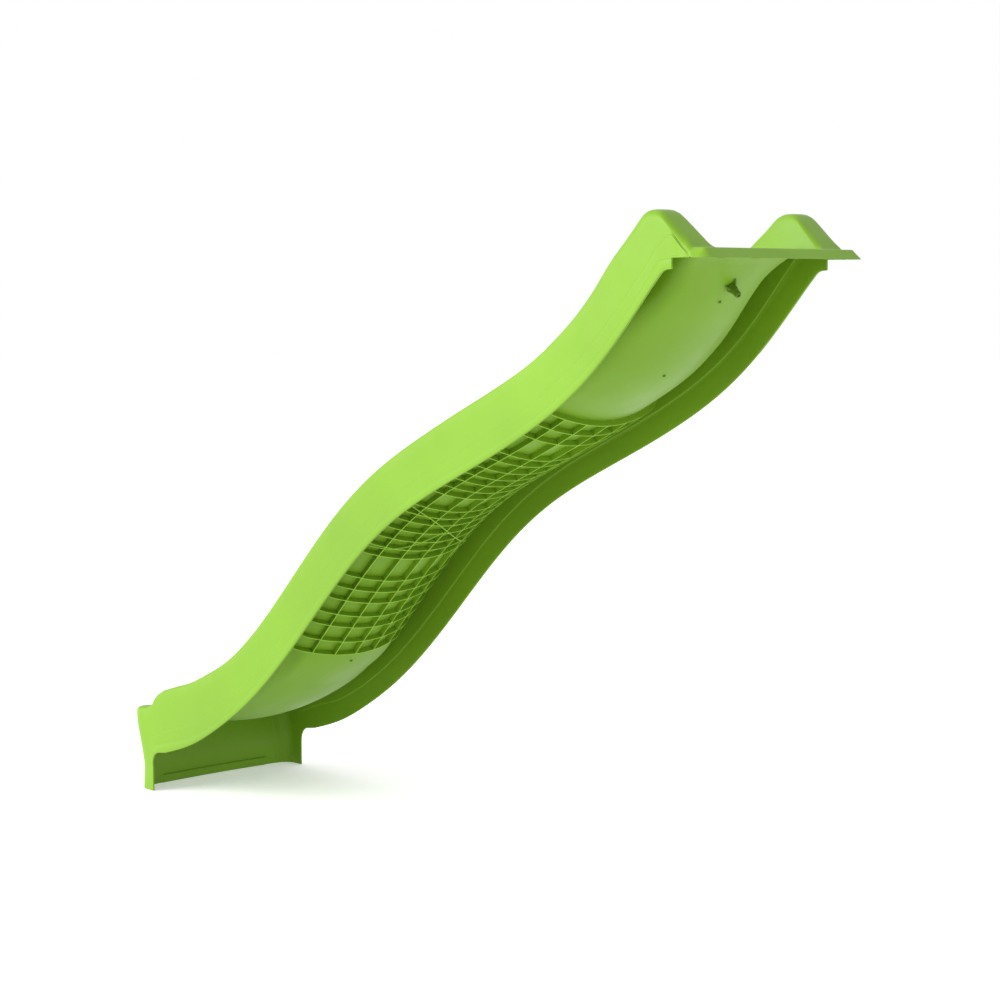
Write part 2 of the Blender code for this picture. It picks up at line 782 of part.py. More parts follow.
for i, y in enumerate(HOLE_Y):
    bm = bmesh.new()
    turned(bm, (HOLE_X - X_MID, y, PLATFORM_TOP), (0, 0, 1),
           [(0.0, HOLE_R), (0.0, BOSS_R),
            (DECK_TOP - WALL - GAP - PLATFORM_TOP, BOSS_R),
            (DECK_TOP - WALL - GAP - PLATFORM_TOP, HOLE_R)], 12, bore=True)
    add_object("screw_boss_%d" % (i + 1), bm)
    cut(deck, "deck_hole_%d" % i,
        (HOLE_X - X_MID, y, DECK_TOP - 0.010), (0, 0, 1), 0.02, HOLE_R, 12)


# ---------------------------------------------------------------- rib grid
SIDE_LINES = []            # (arc position, inside a long rib up to the next)
for k in range(-RIB_SIDE, RIB_SIDE + 1):
    SIDE_LINES.append((k * RIB_PITCH_Y - T2, True))
    SIDE_LINES.append((k * RIB_PITCH_Y + T2, False))
    if k in (-RIB_SIDE, RIB_SIDE - 1):
        SIDE_LINES.append(((k + 0.5) * RIB_PITCH_Y, False))


def rib_grid(name, ribs, s_start, s_end):
    """One group of cross ribs with the long ribs that run through it."""
    lines = []
    if s_start is not None:
        lines.append((s_start, False))
    for s in ribs:
        lines.append((s - T2, True))
        lines.append((s + T2, False))
    if s_end is not None:
        lines.append((s_end, False))
    bm = bmesh.new()
    top, bot = {}, {}
    for i, (s, _) in enumerate(lines):
        for j, (a, _) in enumerate(SIDE_LINES):
            y, h = prof(a, -GAP)
            top[i, j] = bm.verts.new(shift(place(s, y, h)))
            y, h = prof(a, -RIB_DEPTH)
            bot[i, j] = bm.verts.new(shift(place(s, y, h)))
    ni, nj = len(lines) - 1, len(SIDE_LINES) - 1

    def solid(i, j):
        if i < 0 or j < 0 or i >= ni or j >= nj:
            return False
        return lines[i][1] or SIDE_LINES[j][1]

    for i in range(ni):
        for j in range(nj):
            if not solid(i, j):
                continue
            bm.faces.new((top[i, j], top[i, j + 1],
                          top[i + 1, j + 1], top[i + 1, j]))
            bm.faces.new((bot[i, j], bot[i + 1, j],
                          bot[i + 1, j + 1], bot[i, j + 1]))
            for di, dj, p, q in ((-1, 0, (i, j), (i, j + 1)),
                                 (1, 0, (i + 1, j + 1), (i + 1, j)),
                                 (0, -1, (i + 1, j), (i, j)),
                                 (0, 1, (i, j + 1), (i + 1, j + 1))):
                if not solid(i + di, j + dj):
                    bm.faces.new((top[p], bot[p], bot[q], top[q]))
    loose = [v for v in bm.verts if not v.link_faces]
    bmesh.ops.delete(bm, geom=loose, context='VERTS')
    return add_object(name, bm)


names = ("rib_grid_lower", "rib_grid_centre", "rib_grid_upper",
         "rib_grid_top")
at = 0
for g, n in enumerate(RIB_GROUPS):
    ribs = list(RIBS[at:at + n])
    start = None if g == 0 else \
        0.5 * (RIBS[at - 1] + RIBS[at]) + 0.5 * GAP
    end = None if g == len(RIB_GROUPS) - 1 else \
        0.5 * (RIBS[at + n - 1] + RIBS[at + n]) - 0.5 * GAP
    rib_grid(names[g], ribs, start, end)
    at += n


# ------------------------------------------------------------ water fitting
# A spout below the bed near the entry takes a garden hose; the water comes
# out of a low nozzle on the sliding surface.
S_HOSE = s_at_x(1.5600)
P_HOSE = bed_point(S_HOSE)
N_HOSE = bed_normal(S_HOSE)
OUT = np.array([-N_HOSE[0], 0.0, -N_HOSE[1]])
ROOT = np.array([P_HOSE[0] - X_MID, 0.0, P_HOSE[1]])
BORE_R = 0.0040

cut(upper, "nozzle_hole", ROOT - OUT * 0.010, OUT, 0.020, 0.0052, 14)

bm = bmesh.new()
turned(bm, ROOT + OUT * (GAP + 0.0002), OUT,
       [(0.0, 0.0052), (0.0, 0.0085), (0.0120, 0.0085), (0.0120, 0.0052)],
       14, bore=True)
add_object("hose_boss", bm)

# the spout turns down towards the ground
bm = bmesh.new()
start = ROOT + OUT * (0.0120 + 2 * GAP + 0.0002)
turned(bm, start, OUT,
       [(0.0, BORE_R), (0.0, 0.0078), (0.0040, 0.0078), (0.0046, 0.0062),
        (0.0075, 0.0062), (0.0082, 0.0070), (0.0130, 0.0066),
        (0.0150, 0.0055), (0.0150, BORE_R)], 14, bore=True)
add_object("hose_connector", bm)

# four gussets between the boss and the bed
along = np.array([N_HOSE[1], 0.0, -N_HOSE[0]])
across = np.array([0.0, 1.0, 0.0])
for where, d, w, reach in (("upper", along, across, 0.019),
                           ("lower", -along, across, 0.012),
                           ("right", across, along, 0.016),
                           ("left", -across, along, 0.016)):
    bm = bmesh.new()
    r0 = 0.0085 + GAP
    rise = reach * reach / (2 * BED_RADIUS) if abs(d[1]) > 0.5 else 0.0
    tri = [ROOT + OUT * (GAP + 0.0004) + d * r0,
           ROOT + OUT * (GAP + 0.0004 - 0.8 * rise) + d * reach,
           ROOT + OUT * (GAP + 0.0012 - 0.8 * rise) + d * reach,
           ROOT + OUT * 0.0100 + d * r0]
    a = [bm.verts.new(tuple(p - w * 0.0013)) for p in tri]
    b = [bm.verts.new(tuple(p + w * 0.0013)) for p in tri]
    bm.faces.new(a)
    bm.faces.new(list(reversed(b)))
    for i in range(4):
        j = (i + 1) % 4
        bm.faces.new((a[i], b[i], b[j], a[j]))
    add_object("boss_gusset_" + where, bm)

# nozzle on the sliding surface with its seal, its stem goes into the boss
IN = -OUT
face = ROOT + IN * WALL
bm = bmesh.new()
turned(bm, face + IN * (GAP + 0.0012), IN,
       [(0.0, 0.0056), (0.0, 0.0120), (0.0015, 0.0120), (0.0015, 0.0056)],
       14, bore=True)
add_object("nozzle_seal", bm, BLACK, 0.6)

bm = bmesh.new()
cap = face + IN * (0.0015 + 2 * GAP + 0.0012)
turned(bm, cap, IN,
       [(-0.0150, 0.0030), (-0.0150, 0.0046), (0.0, 0.0046), (0.0, 0.0125),
        (0.0015, 0.0125), (0.0035, 0.0100), (0.0042, 0.0060),
        (0.0042, 0.0030)], 14, bore=True)
add_object("spray_nozzle", bm)
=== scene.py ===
"""Looks of the lime green playground slide.

The slide is one rotationally moulded shell: a hollow bed with raised side
rails, skirts that hang below them, a front wall with two feet, and two
humps beside the start.  Everything is built from curves in the side view
and a cross-section that changes along the bed."""
import math

import bpy
import bmesh
import numpy as np
from mathutils import Vector, Matrix


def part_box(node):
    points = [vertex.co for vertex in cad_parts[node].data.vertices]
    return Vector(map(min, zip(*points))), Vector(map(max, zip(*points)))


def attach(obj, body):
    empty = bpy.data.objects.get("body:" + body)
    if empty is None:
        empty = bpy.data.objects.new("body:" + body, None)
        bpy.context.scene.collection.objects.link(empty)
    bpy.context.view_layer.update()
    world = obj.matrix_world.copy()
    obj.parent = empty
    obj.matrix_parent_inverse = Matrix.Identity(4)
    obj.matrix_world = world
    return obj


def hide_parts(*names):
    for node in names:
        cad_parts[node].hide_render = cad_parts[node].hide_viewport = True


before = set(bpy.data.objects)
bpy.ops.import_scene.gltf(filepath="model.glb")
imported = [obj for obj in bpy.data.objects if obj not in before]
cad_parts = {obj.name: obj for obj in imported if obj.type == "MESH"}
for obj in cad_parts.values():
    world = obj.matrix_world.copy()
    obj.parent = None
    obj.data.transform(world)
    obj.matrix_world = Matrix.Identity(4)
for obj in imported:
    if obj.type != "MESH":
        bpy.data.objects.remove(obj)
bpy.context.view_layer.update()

# ------------------------------------------------------ driving dimensions
HALF_W = 0.225            # half of the outer width over the skirts
WALL = 0.004              # wall thickness of the moulding
GAP = 0.0003              # clearance between neighbouring regions
X_FRONT = -0.0880
X_REAR = 1.700            # free edge of the platform flange
X_MID = 0.5 * (X_FRONT + X_REAR)

PLATFORM_TOP = 1.2235     # top of the platform that the flange rests on
DECK_TOP = 1.242          # top of the flange
NOTCH_X = 1.6138          # vertical edge of the skirts, against the platform
NOTCH_Z = 1.2034          # lowest point of that edge

BED_RADIUS = 0.33         # crossways radius of the sliding surface
BED_HALF = 0.130          # half width of the arc, before the side fillets
SIDE_FILLET = 0.074       # fillet between the bed and the side wall
SIDE_ANGLE = 78.0         # steepness of the side wall, degrees
EXIT_ARC_R = 0.761        # run-out arc of the bed, seen from the side
EXIT_ARC_X = -0.054       # where that arc is level
EXIT_ARC_Z = 0.140        # height of the bed's underside there
CREST_R = 0.090           # roll-over from the slope to the flange

RIB_DEPTH = 0.012
RIB_T = 0.003
RIB_PITCH_Y = 0.0555
RIB_SIDE = 3              # long ribs on each side of the middle one
RIB_X0 = 0.4584           # first and last cross rib, at the middle of the bed
RIB_X1 = 1.2393
RIB_GROUPS = (7, 7, 7, 3)  # cross ribs in each group
RIB_CELLS = ((43, 48, 37, 45, 37, 38), (30, 31, 33, 34, 29, 32),
             (33, 36, 33, 37, 41, 34), (48, 45))   # cell lengths, mm
RIB_WIDE = (77, 63, 82)    # the wide cells between groups, mm

# Depth of the sides, from the skirt's edge to the rail's top, square to the
# slope, (x, depth) along the skirt's edge.
SIDE_POINTS = [
    (0.05, 0.1420), (0.10, 0.1425), (0.15, 0.1400), (0.20, 0.1331),
    (0.25, 0.1272), (0.30, 0.1212), (0.35, 0.1160), (0.40, 0.1133),
    (0.50, 0.1117), (0.60, 0.1126), (0.70, 0.1144), (0.80, 0.1161),
    (0.90, 0.1169), (1.00, 0.1182), (1.10, 0.1198), (1.20, 0.1182),
    (1.30, 0.1153), (1.40, 0.1137), (1.45, 0.1119), (1.50, 0.1115)]

# Side view of the skirts' lower edge, (x, z) every 100 mm.
SKIRT_POINTS = [
    (0.05, 0.0973), (0.15, 0.1300), (0.25, 0.1817), (0.35, 0.2466),
    (0.45, 0.3285), (0.55, 0.4253), (0.65, 0.5272), (0.75, 0.6199),
    (0.85, 0.6935), (0.95, 0.7499), (1.05, 0.7980), (1.15, 0.8451),
    (1.25, 0.8970), (1.35, 0.9594), (1.45, 1.0439), (1.55, 1.1534)]


# ------------------------------------------------------------- curve tools
def natural_spline(points):
    """Natural cubic spline through (x, z) points; gives value and slope."""
    px = np.array([p[0] for p in points], float)
    pz = np.array([p[1] for p in points], float)
    n = len(px)
    step = np.diff(px)
    a = np.zeros((n, n))
    b = np.zeros(n)
    a[0, 0] = a[-1, -1] = 1.0
    for i in range(1, n - 1):
        a[i, i - 1] = step[i - 1]
        a[i, i] = 2.0 * (step[i - 1] + step[i])
        a[i, i + 1] = step[i]
        b[i] = 6.0 * ((pz[i + 1] - pz[i]) / step[i]
                      - (pz[i] - pz[i - 1]) / step[i - 1])
    m = np.linalg.solve(a, b)

    def value(x):
        i = int(np.clip(np.searchsorted(px, x) - 1, 0, n - 2))
        t0, t1, s = x - px[i], px[i + 1] - x, step[i]
        z = ((m[i] * t1 ** 3 + m[i + 1] * t0 ** 3) / (6 * s)
             + (pz[i] / s - m[i] * s / 6) * t1
             + (pz[i + 1] / s - m[i + 1] * s / 6) * t0)
        d = ((-m[i] * t1 ** 2 + m[i + 1] * t0 ** 2) / (2 * s)
             - (pz[i] / s - m[i] * s / 6)
             + (pz[i + 1] / s - m[i + 1] * s / 6))
        return z, d
    return value


def smooth01(t):
    t = min(1.0, max(0.0, t))
    return t * t * (3 - 2 * t)


def fillet(points, radii, steps=5):
    """Round the inner corners of a polyline; radii has one per corner."""
    out = [np.array(points[0], float)]
    for i in range(1, len(points) - 1):
        p = np.array(points[i], float)
        a = np.array(points[i - 1], float) - p
        b = np.array(points[i + 1], float) - p
        la, lb = np.linalg.norm(a), np.linalg.norm(b)
        a, b = a / la, b / lb
        half = 0.5 * math.acos(float(np.clip(a @ b, -1, 1)))
        r = radii[i - 1]
        if r <= 0 or half > math.radians(89.5):
            out.append(p)
            continue
        cut = min(r / math.tan(half), 0.48 * la, 0.48 * lb)
        r = cut * math.tan(half)
        mid = (a + b) / np.linalg.norm(a + b)
        centre = p + mid * r / math.sin(half)
        v0, v1 = p + a * cut - centre, p + b * cut - centre
        sweep = math.acos(float(np.clip((v0 @ v1) / (r * r), -1, 1)))
        for k in range(steps + 1):
            t = k / steps
            v = (math.sin((1 - t) * sweep) * v0 + math.sin(t * sweep) * v1)
            out.append(centre + v / math.sin(sweep))
    out.append(np.array(points[-1], float))
    return out


skirt = natural_spline(SKIRT_POINTS)


def skirt_frame(x):
    z, s = skirt(x)
    n = np.array([-s, 1.0]) / math.hypot(s, 1.0)
    return np.array([x, z]), n


_side = natural_spline(SIDE_POINTS)


def side_depth(x):
    return _side(x)[0]


def rib_rise(x):
    """Height of the ribs' free edge above the skirts' lower edge."""
    w = 0.20 if x < 0.64 else 0.27
    return 0.0015 + 0.0123 * math.exp(-((x - 0.64) / w) ** 2)


def bed_rise(x):
    """Height of the underside of the bed above the skirts' lower edge."""
    if x <= 1.2387:
        return rib_rise(x) + RIB_DEPTH
    return 0.0055 + (rib_rise(1.2387) + RIB_DEPTH - 0.0055) * \
        smooth01((1.40 - x) / (1.40 - 1.2387))


# -------------------------------------------------- middle line of the bed
def bed_line():
    """Underside of the bed at y = 0, from the exit to the flange."""
    pts = []
    for x in np.linspace(EXIT_ARC_X - 0.040, EXIT_ARC_X, 5)[:-1]:
        pts.append((x, EXIT_ARC_Z))
    for x in np.linspace(EXIT_ARC_X, 0.33, 24):
        dx = x - EXIT_ARC_X
        pts.append((x, EXIT_ARC_Z + EXIT_ARC_R
                    - math.sqrt(EXIT_ARC_R ** 2 - dx ** 2)))
    blend0, blend1 = 0.345, 0.52
    for x in np.arange(0.345, 1.561, 0.015):
        p, n = skirt_frame(x)
        low = 0.0075 if x < 0.46 else 0.0
        rise = bed_rise(x)
        if x < blend1:
            t = smooth01((x - blend0) / (blend1 - blend0))
            rise = 0.0078 * (1 - t) + rise * t
        pts.append(tuple(p + n * rise))
    pts = [np.array(p, float) for p in pts]
    # straight on along the last slope, then round the crest
    d = pts[-1] - pts[-2]
    d /= np.linalg.norm(d)
    ang = math.atan2(d[1], d[0])
    drop = CREST_R * (1 - math.cos(ang))
    run = ((DECK_TOP - WALL - drop) - pts[-1][1]) / d[1]
    start = pts[-1] + d * run
    centre = start + CREST_R * np.array([math.sin(ang), -math.cos(ang)])
    pts.append(pts[-1] + d * run * 0.5)
    for k in range(13):
        a = ang * (1 - k / 12)
        pts.append(centre + CREST_R * np.array([-math.sin(a), math.cos(a)]))
    return np.array(pts)


# ------------------------------------------------ middle line of the bed
_line = bed_line()
_more = [(_line[-1][0] + d, _line[-1][1]) for d in (0.008, 0.016, 0.030, 0.045)]
_line = np.vstack([_line, _more])
_keep = [0] + [i for i in range(1, len(_line))
               if np.linalg.norm(_line[i] - _line[i - 1]) > 1e-5]
LINE = np.array([_line[i] for i in _keep
                 if not (0.312 < _line[i][0] < 0.405
                         or 0.486 < _line[i][0] < 0.522)])
ARC = np.concatenate([[0], np.cumsum(np.linalg.norm(np.diff(LINE, axis=0),
                                                    axis=1))])
_sx = natural_spline(list(zip(ARC, LINE[:, 0])))
_sz = natural_spline(list(zip(ARC, LINE[:, 1])))
X_END = 1.6612            # where the moulding meets the flange piece


def bed_point(s):
    return np.array([_sx(s)[0], _sz(s)[0]])


def bed_normal(s):
    dx, dz = _sx(s)[1], _sz(s)[1]
    q = math.hypot(dx, dz)
    return np.array([-dz / q, dx / q])


def s_at_x(x):
    return float(np.interp(x, LINE[:, 0], ARC))


def place(s, y, h):
    q = bed_point(s) + bed_normal(s) * h
    return np.array([q[0], y, q[1]])


# --------------------------------------------------------- side view curves
def arc_curve(points, step):
    """Natural spline through points by chord length, sampled evenly."""
    p = np.array(points, float)
    t = np.concatenate([[0], np.cumsum(np.linalg.norm(np.diff(p, axis=0),
                                                      axis=1))])
    fx = natural_spline(list(zip(t, p[:, 0])))
    fz = natural_spline(list(zip(t, p[:, 1])))
    n = int(t[-1] / step) + 1
    return [(fx(v)[0], fz(v)[0]) for v in np.linspace(0, t[-1], n)]


def rail_curve():
    """Top line of the side rails and humps."""
    first = [(-0.1000, 0.1878), (-0.0700, 0.1903), (-0.0450, 0.1933),
             (-0.0230, 0.1963), (-0.0100, 0.2032), (0.0020, 0.2180),
             (0.0130, 0.2292), (0.0270, 0.2368)]
    for x in np.arange(0.050, 0.2001, 0.025):
        p, n = skirt_frame(x)
        first.append(tuple(p + n * side_depth(x)))
    pts = arc_curve(first, 0.003)
    for x in np.arange(0.205, 1.4951, 0.005):
        p, n = skirt_frame(x)
        pts.append(tuple(p + n * side_depth(x)))
    pts += [tuple(p) for p in
            fillet([(1.4602, 1.2253), (1.5378, 1.3118), (1.5770, 1.3118),
                    (1.6560, DECK_TOP), (1.7000, DECK_TOP)],
                   [0.038, 0.033, 0.010], 14)]
    return np.array([(p[0], p[1]) for p in pts])


def low_curve():
    """Lower edge of the skirts."""
    pts = fillet([(0.0, 0.0), (0.0, 0.0905), (0.0500, 0.0973)], [0.026], 14)
    pts = [tuple(p) for p in pts][:-1]
    for x in np.arange(0.050, 1.5501, 0.005):
        pts.append((x, skirt(x)[0]))
    pts += [tuple(p) for p in
            fillet([(1.5600, 1.1650), (1.5935, 1.2015), (NOTCH_X, NOTCH_Z),
                    (NOTCH_X, PLATFORM_TOP), (1.7200, PLATFORM_TOP)],
                   [0.030, 0.0012, 0.0012], 8)]
    return np.array(pts)


RAIL = rail_curve()
LOW = low_curve()
LOW_ARC = np.concatenate([[0], np.cumsum(np.linalg.norm(
    np.diff(LOW, axis=0), axis=1))])


def step_curve(table, end):
    """A step line of the skirts, from heights above their lower edge."""
    f = natural_spline(table)
    pts = []
    for x in np.arange(table[0][0], table[-1][0] + 1e-6, 0.006):
        p, n = skirt_frame(x)
        pts.append(tuple(p + n * f(x)[0]))
    return np.array(pts + [tuple(p) for p in end])


# height of the two step lines above the skirts' edge, by position
STEP_1 = step_curve(
    [(-0.06, 0.0430), (0.022, 0.0440), (0.063, 0.0475), (0.144, 0.0441),
     (0.244, 0.0409), (0.40, 0.0405), (0.80, 0.0415), (1.20, 0.0427),
     (1.407, 0.0428), (1.524, 0.0396)],
    fillet([(1.5530, 1.2155), (1.5725, 1.2396), (1.5920, 1.2578),
            (1.6110, 1.2668), (1.6559, 1.2256), (1.6700, 1.2130)],
           [0.03, 0.02, 0.006, 0.0], 6))
STEP_2 = step_curve(
    [(-0.06, 0.0225), (0.028, 0.0217), (0.141, 0.0165), (0.225, 0.0120),
     (0.40, 0.0135), (0.80, 0.0150), (1.20, 0.0158), (1.439, 0.0161),
     (1.53, 0.0170)],
    fillet([(1.5600, 1.1925), (1.5800, 1.2185), (1.6030, 1.2222),
            (1.7200, 1.2228)], [0.008, 0.01], 5))


# the single step on the inner face of the skirts
STEP_3 = step_curve(
    [(-0.06, 0.0450), (0.003, 0.0456), (0.068, 0.0472), (0.128, 0.0464),
     (0.40, 0.0475), (0.80, 0.0495), (1.20, 0.0515), (1.455, 0.0534),
     (1.49, 0.0543), (1.54, 0.0568)],
    fillet([(1.5660, 1.2600), (1.5900, 1.2720), (1.6300, 1.2500),
            (1.7000, 1.2200)], [0.01, 0.01], 5))


def crossing(curve, p, d, lo, hi, last=False):
    """Distance along direction d from p to a curve in the side view."""
    e = curve[1:] - curve[:-1]
    w = curve[:-1] - p
    det = e[:, 0] * d[1] - e[:, 1] * d[0]
    det = np.where(np.abs(det) < 1e-12, 1e-12, det)
    t = (e[:, 0] * w[:, 1] - e[:, 1] * w[:, 0]) / det
    u = (d[0] * w[:, 1] - d[1] * w[:, 0]) / det
    ok = (u > -1e-6) & (u < 1 + 1e-6) & (t > lo) & (t < hi)
    if not ok.any():
        return None, None
    i = np.where(ok)[0]
    j = i[np.argmin(t[i])] if not last else i[np.argmax(t[i])]
    return float(t[j]), (int(j), float(u[j]))


def rail_height(s):
    return crossing(RAIL, bed_point(s), bed_normal(s), 0.001, 0.2)[0]


# ------------------------------------------------------------ cross-section
SAMPLES = 160


def profile(m, nw=0.0):
    """Arc length, y, h, normal (ny, nh) and slope angle of the underside.
    m is how hollow the bed is, nw how far it has narrowed for the humps."""
    flat_half, flat_rad = 0.158 - 0.007 * nw, 0.014 - 0.008 * nw
    half = flat_half + (BED_HALF - 0.024 * nw - flat_half) * m
    rad = flat_rad + (SIDE_FILLET - 0.034 * nw - flat_rad) * m
    a0 = math.atan(m * half / BED_RADIUS)
    a1 = math.radians(SIDE_ANGLE)
    y = np.linspace(0, half, SAMPLES + 1)
    g = m * y / BED_RADIUS
    q = np.hypot(g, 1)
    r1 = np.stack([y, m * y * y / (2 * BED_RADIUS), -g / q, 1 / q,
                   np.arctan(g)], 1)
    cy, ch = half - rad * math.sin(a0), r1[-1, 1] + rad * math.cos(a0)
    a = np.linspace(a0, a1, SAMPLES + 1)[1:]
    r2 = np.stack([cy + rad * np.sin(a), ch - rad * np.cos(a),
                   -np.sin(a), np.cos(a), a], 1)
    d = np.linspace(0, 0.16, 17)[1:]
    r3 = np.stack([r2[-1, 0] + d * math.cos(a1), r2[-1, 1] + d * math.sin(a1),
                   np.full(16, -math.sin(a1)), np.full(16, math.cos(a1)),
                   np.full(16, a1)], 1)
    rows = np.vstack([r1, r2, r3])
    arc = np.concatenate([[0], np.cumsum(np.hypot(np.diff(rows[:, 0]),
                                                  np.diff(rows[:, 1])))])
    return arc, rows


S_CRESTING = s_at_x(1.55)
S_CREST_END = s_at_x(1.6577)


def hollow(s):
    """How hollow the bed is: 1 on the slope, less at the exit and crest."""
    x = bed_point(s)[0]
    if x < 0.2:
        return 1.0 - 0.55 * smooth01((0.12 - x) / 0.20)
    return 1.0 - smooth01((s - S_CRESTING) / (S_CREST_END - S_CRESTING))


Y_TOP = 0.2235            # outer face above the upper step line
STEP = 0.0011             # each step of the skirts
NB, NW, NF, NT, NO = 24, 12, 9, 8, 7   # columns: bed, wall, fillet, top, edge


def r_out(x):
    return 0.0105 + 0.0095 * smooth01((x - 1.52) / 0.08)


def r_in(x):
    return 0.0135 + 0.0035 * smooth01((x - 1.50) / 0.10)


def section(s):
    """Half cross-section at s: rows of y, h, y and h of the inner skin,
    and the slope angle, from the middle to the outer edge of the rail."""
    x = bed_point(s)[0]
    arc, rows = profile(hollow(s), smooth01((x - 1.430) / 0.110))
    top = max(rail_height(s) or WALL, WALL + 1e-5)
    ro = min(r_out(x), 0.0150 + 0.35 * max(0.0, top - 0.012))
    ri = r_in(x)
    ha = rows[:, 1] + WALL * rows[:, 3]
    for _ in range(60):
        f = ha + ri * (1 - np.cos(rows[:, 4]))
        at = float(np.interp(top, f + np.arange(len(f)) * 1e-9, arc))
        th = float(np.interp(at, arc, rows[:, 4]))
        ya = np.interp(at, arc, rows[:, 0]) + \
            WALL * np.interp(at, arc, rows[:, 2])
        if ya + ri * math.sin(th) < Y_TOP - ro - 0.0030 or ri < 0.003:
            break
        ri *= 0.94
    ab = min(arc[SAMPLES], 0.92 * at)
    out = []
    for k in range(NB + NW + 1):
        a = ab * k / NB if k <= NB else ab + (at - ab) * (k - NB) / NW
        y, h, ny, nh, t = (float(np.interp(a, arc, rows[:, i]))
                           for i in range(5))
        out.append((y + WALL * ny, h + WALL * nh, y, h, t, a))
    ct = (out[-1][0] + ri * math.sin(th), out[-1][1] - ri * math.cos(th))
    rb = max(ri - WALL, 0.001)
    for k in range(1, NF + 1):
        t = th * (1 - k / NF)
        out.append((ct[0] - ri * math.sin(t), ct[1] + ri * math.cos(t),
                    ct[0] - rb * math.sin(t), ct[1] + rb * math.cos(t),
                    t, at))
    for k in range(1, NT + 1):
        y = ct[0] + (Y_TOP - ro - ct[0]) * math.sin(0.5 * math.pi * k / NT)
        h = ct[1] + ri
        out.append((y, h, y, h - WALL, 0.0, at))
    return np.array(out)


J = NB + NW + NF + NT      # last column of the top sheet


CORNER_R = 0.033
BULGE = 0.0062
front_lean = natural_spline([
    (0.000, -0.0605), (0.030, -0.0585), (0.057, -0.0580), (0.090, -0.0650),
    (0.125, -0.0752), (0.155, -0.0835), (0.200, -0.0842)])


def front_in(y, z, r):
    """x of the plan outline of the front, moved inwards by r."""
    base = front_lean(min(z, 0.2))[0]
    yc = Y_TOP - CORNER_R
    if abs(y) <= yc:
        return base + r - BULGE * (1 - (y / yc) ** 2)
    q = CORNER_R - r
    d = min(abs(y) - yc, q)
    return base + CORNER_R - math.sqrt(max(0.0, q * q - d * d))


# ---------------------------------------------------------------- stations
T2 = 0.5 * RIB_T
S_RIB0 = s_at_x(RIB_X0)
S_RIB1 = s_at_x(RIB_X1)


def rib_stations():
    """Stations of the cross ribs."""
    cells = []
    for g in range(len(RIB_GROUPS)):
        cells += RIB_CELLS[g]
        if g < len(RIB_WIDE):
            cells.append(RIB_WIDE[g])
    cells = np.array(cells) * (S_RIB1 - S_RIB0) / sum(cells)
    return S_RIB0 + np.concatenate([[0], np.cumsum(cells)])


RIBS = rib_stations()
S0 = s_at_x(0.030)
S_REAR = s_at_x(X_END)


def station_through(px, pz):
    """Station whose normal line passes through a point of the side view."""
    best = None
    for s in np.linspace(s_at_x(px - 0.08), s_at_x(px + 0.08), 641):
        p, n = bed_point(s), bed_normal(s)
        d = np.array([px, pz]) - p
        t = abs(n[0] * d[1] - n[1] * d[0])
        if best is None or t < best[0]:
            best = (t, float(s))
    return best[1]


fixed = [S0, S_RIB0 - T2 - 0.00004, S_RIB0 - T2 + 0.00004, S_REAR]
for q in LOW[(LOW[:, 0] > 1.585) & (LOW[:, 0] < 1.64)]:
    fixed.append(station_through(*q))
loose = list(np.arange(S0 + 0.008, s_at_x(1.50), 0.0085)) + \
    list(np.arange(s_at_x(1.50), S_REAR - 0.001, 0.0032))
main = sorted(fixed)
main = [s for i, s in enumerate(main) if i == 0 or s - main[i - 1] > 0.00005]
for s in loose:
    if all(abs(s - f) > 0.0012 for f in fixed):
        main.append(s)
main = sorted(main)


def lower_extra(s):
    """The smooth lower bed thickens until it is flush with the ribs."""
    if s > S_RIB0 - T2:
        return 0.0
    return (RIB_DEPTH - 0.0003) * smooth01((bed_point(s)[0] - 0.36) / 0.09)


# ------------------------------------------------------------ top sheet
table_s = np.linspace(0.0, S0 + 0.03, 130)
table = np.array([section(s) for s in table_s])


def section_near(s):
    i = int(np.clip(np.searchsorted(table_s, s) - 1, 0, len(table_s) - 2))
    t = (s - table_s[i]) / (table_s[i + 1] - table_s[i])
    return table[i] * (1 - t) + table[i + 1] * t


def pair(s, row):
    """Outer and inner point of one column at station s."""
    d = lower_extra(s) * smooth01((0.1500 - row[5]) / 0.03)
    p = bed_point(s)
    n = bed_normal(s)
    th = row[4]
    a = p + n * row[1]
    b = p + n * (row[3] - d * math.cos(th))
    yb = row[2] + d * math.sin(th)
    return (np.array([a[0], row[0], a[1]]), np.array([b[0], yb, b[1]]))


exit_x = [0.026, 0.0193, 0.013, 0.0076, 0.0035, 0.0009, 0.0] + \
    list(np.linspace(0.0, front_lean(0.2)[0] + CORNER_R, 13)[1:])
x_corner = exit_x[-1]
sheet_a, sheet_b, rows_s = [], [], []
first = section_near(S0)
for xe in reversed(exit_x):
    e = (0.030 - xe) / (0.030 - x_corner)
    ra, rb, rs = [], [], []
    for j in range(J + 1):
        x0 = place(S0, 0, first[j][1])[0]
        s = S0
        goal = None
        for _ in range(7):
            row = section_near(s)[j]
            z = bed_point(s)[1] + row[1]
            goal = x0 + (front_in(row[0], z, r_out(0)) - x0) * e
            s = s + goal - place(s, 0, row[1])[0]
            s = max(0.0, s)
        row = section_near(s)[j]
        a, b = pair(s, row)
        ra.append(a)
        rb.append(b)
        rs.append(s)
    sheet_a.append(ra)
    sheet_b.append(rb)
    rows_s.append(rs)
angle = [[section_near(s)[j][4] for j, s in enumerate(r)] for r in rows_s]
for s in main:
    sec = section(s)
    ab = [pair(s, r) for r in sec]
    sheet_a.append([p[0] for p in ab])
    sheet_b.append([p[1] for p in ab])
    rows_s.append([s] * (J + 1))
    angle.append([r[4] for r in sec])
NE = len(exit_x)           # exit rows come first, front row is row 0

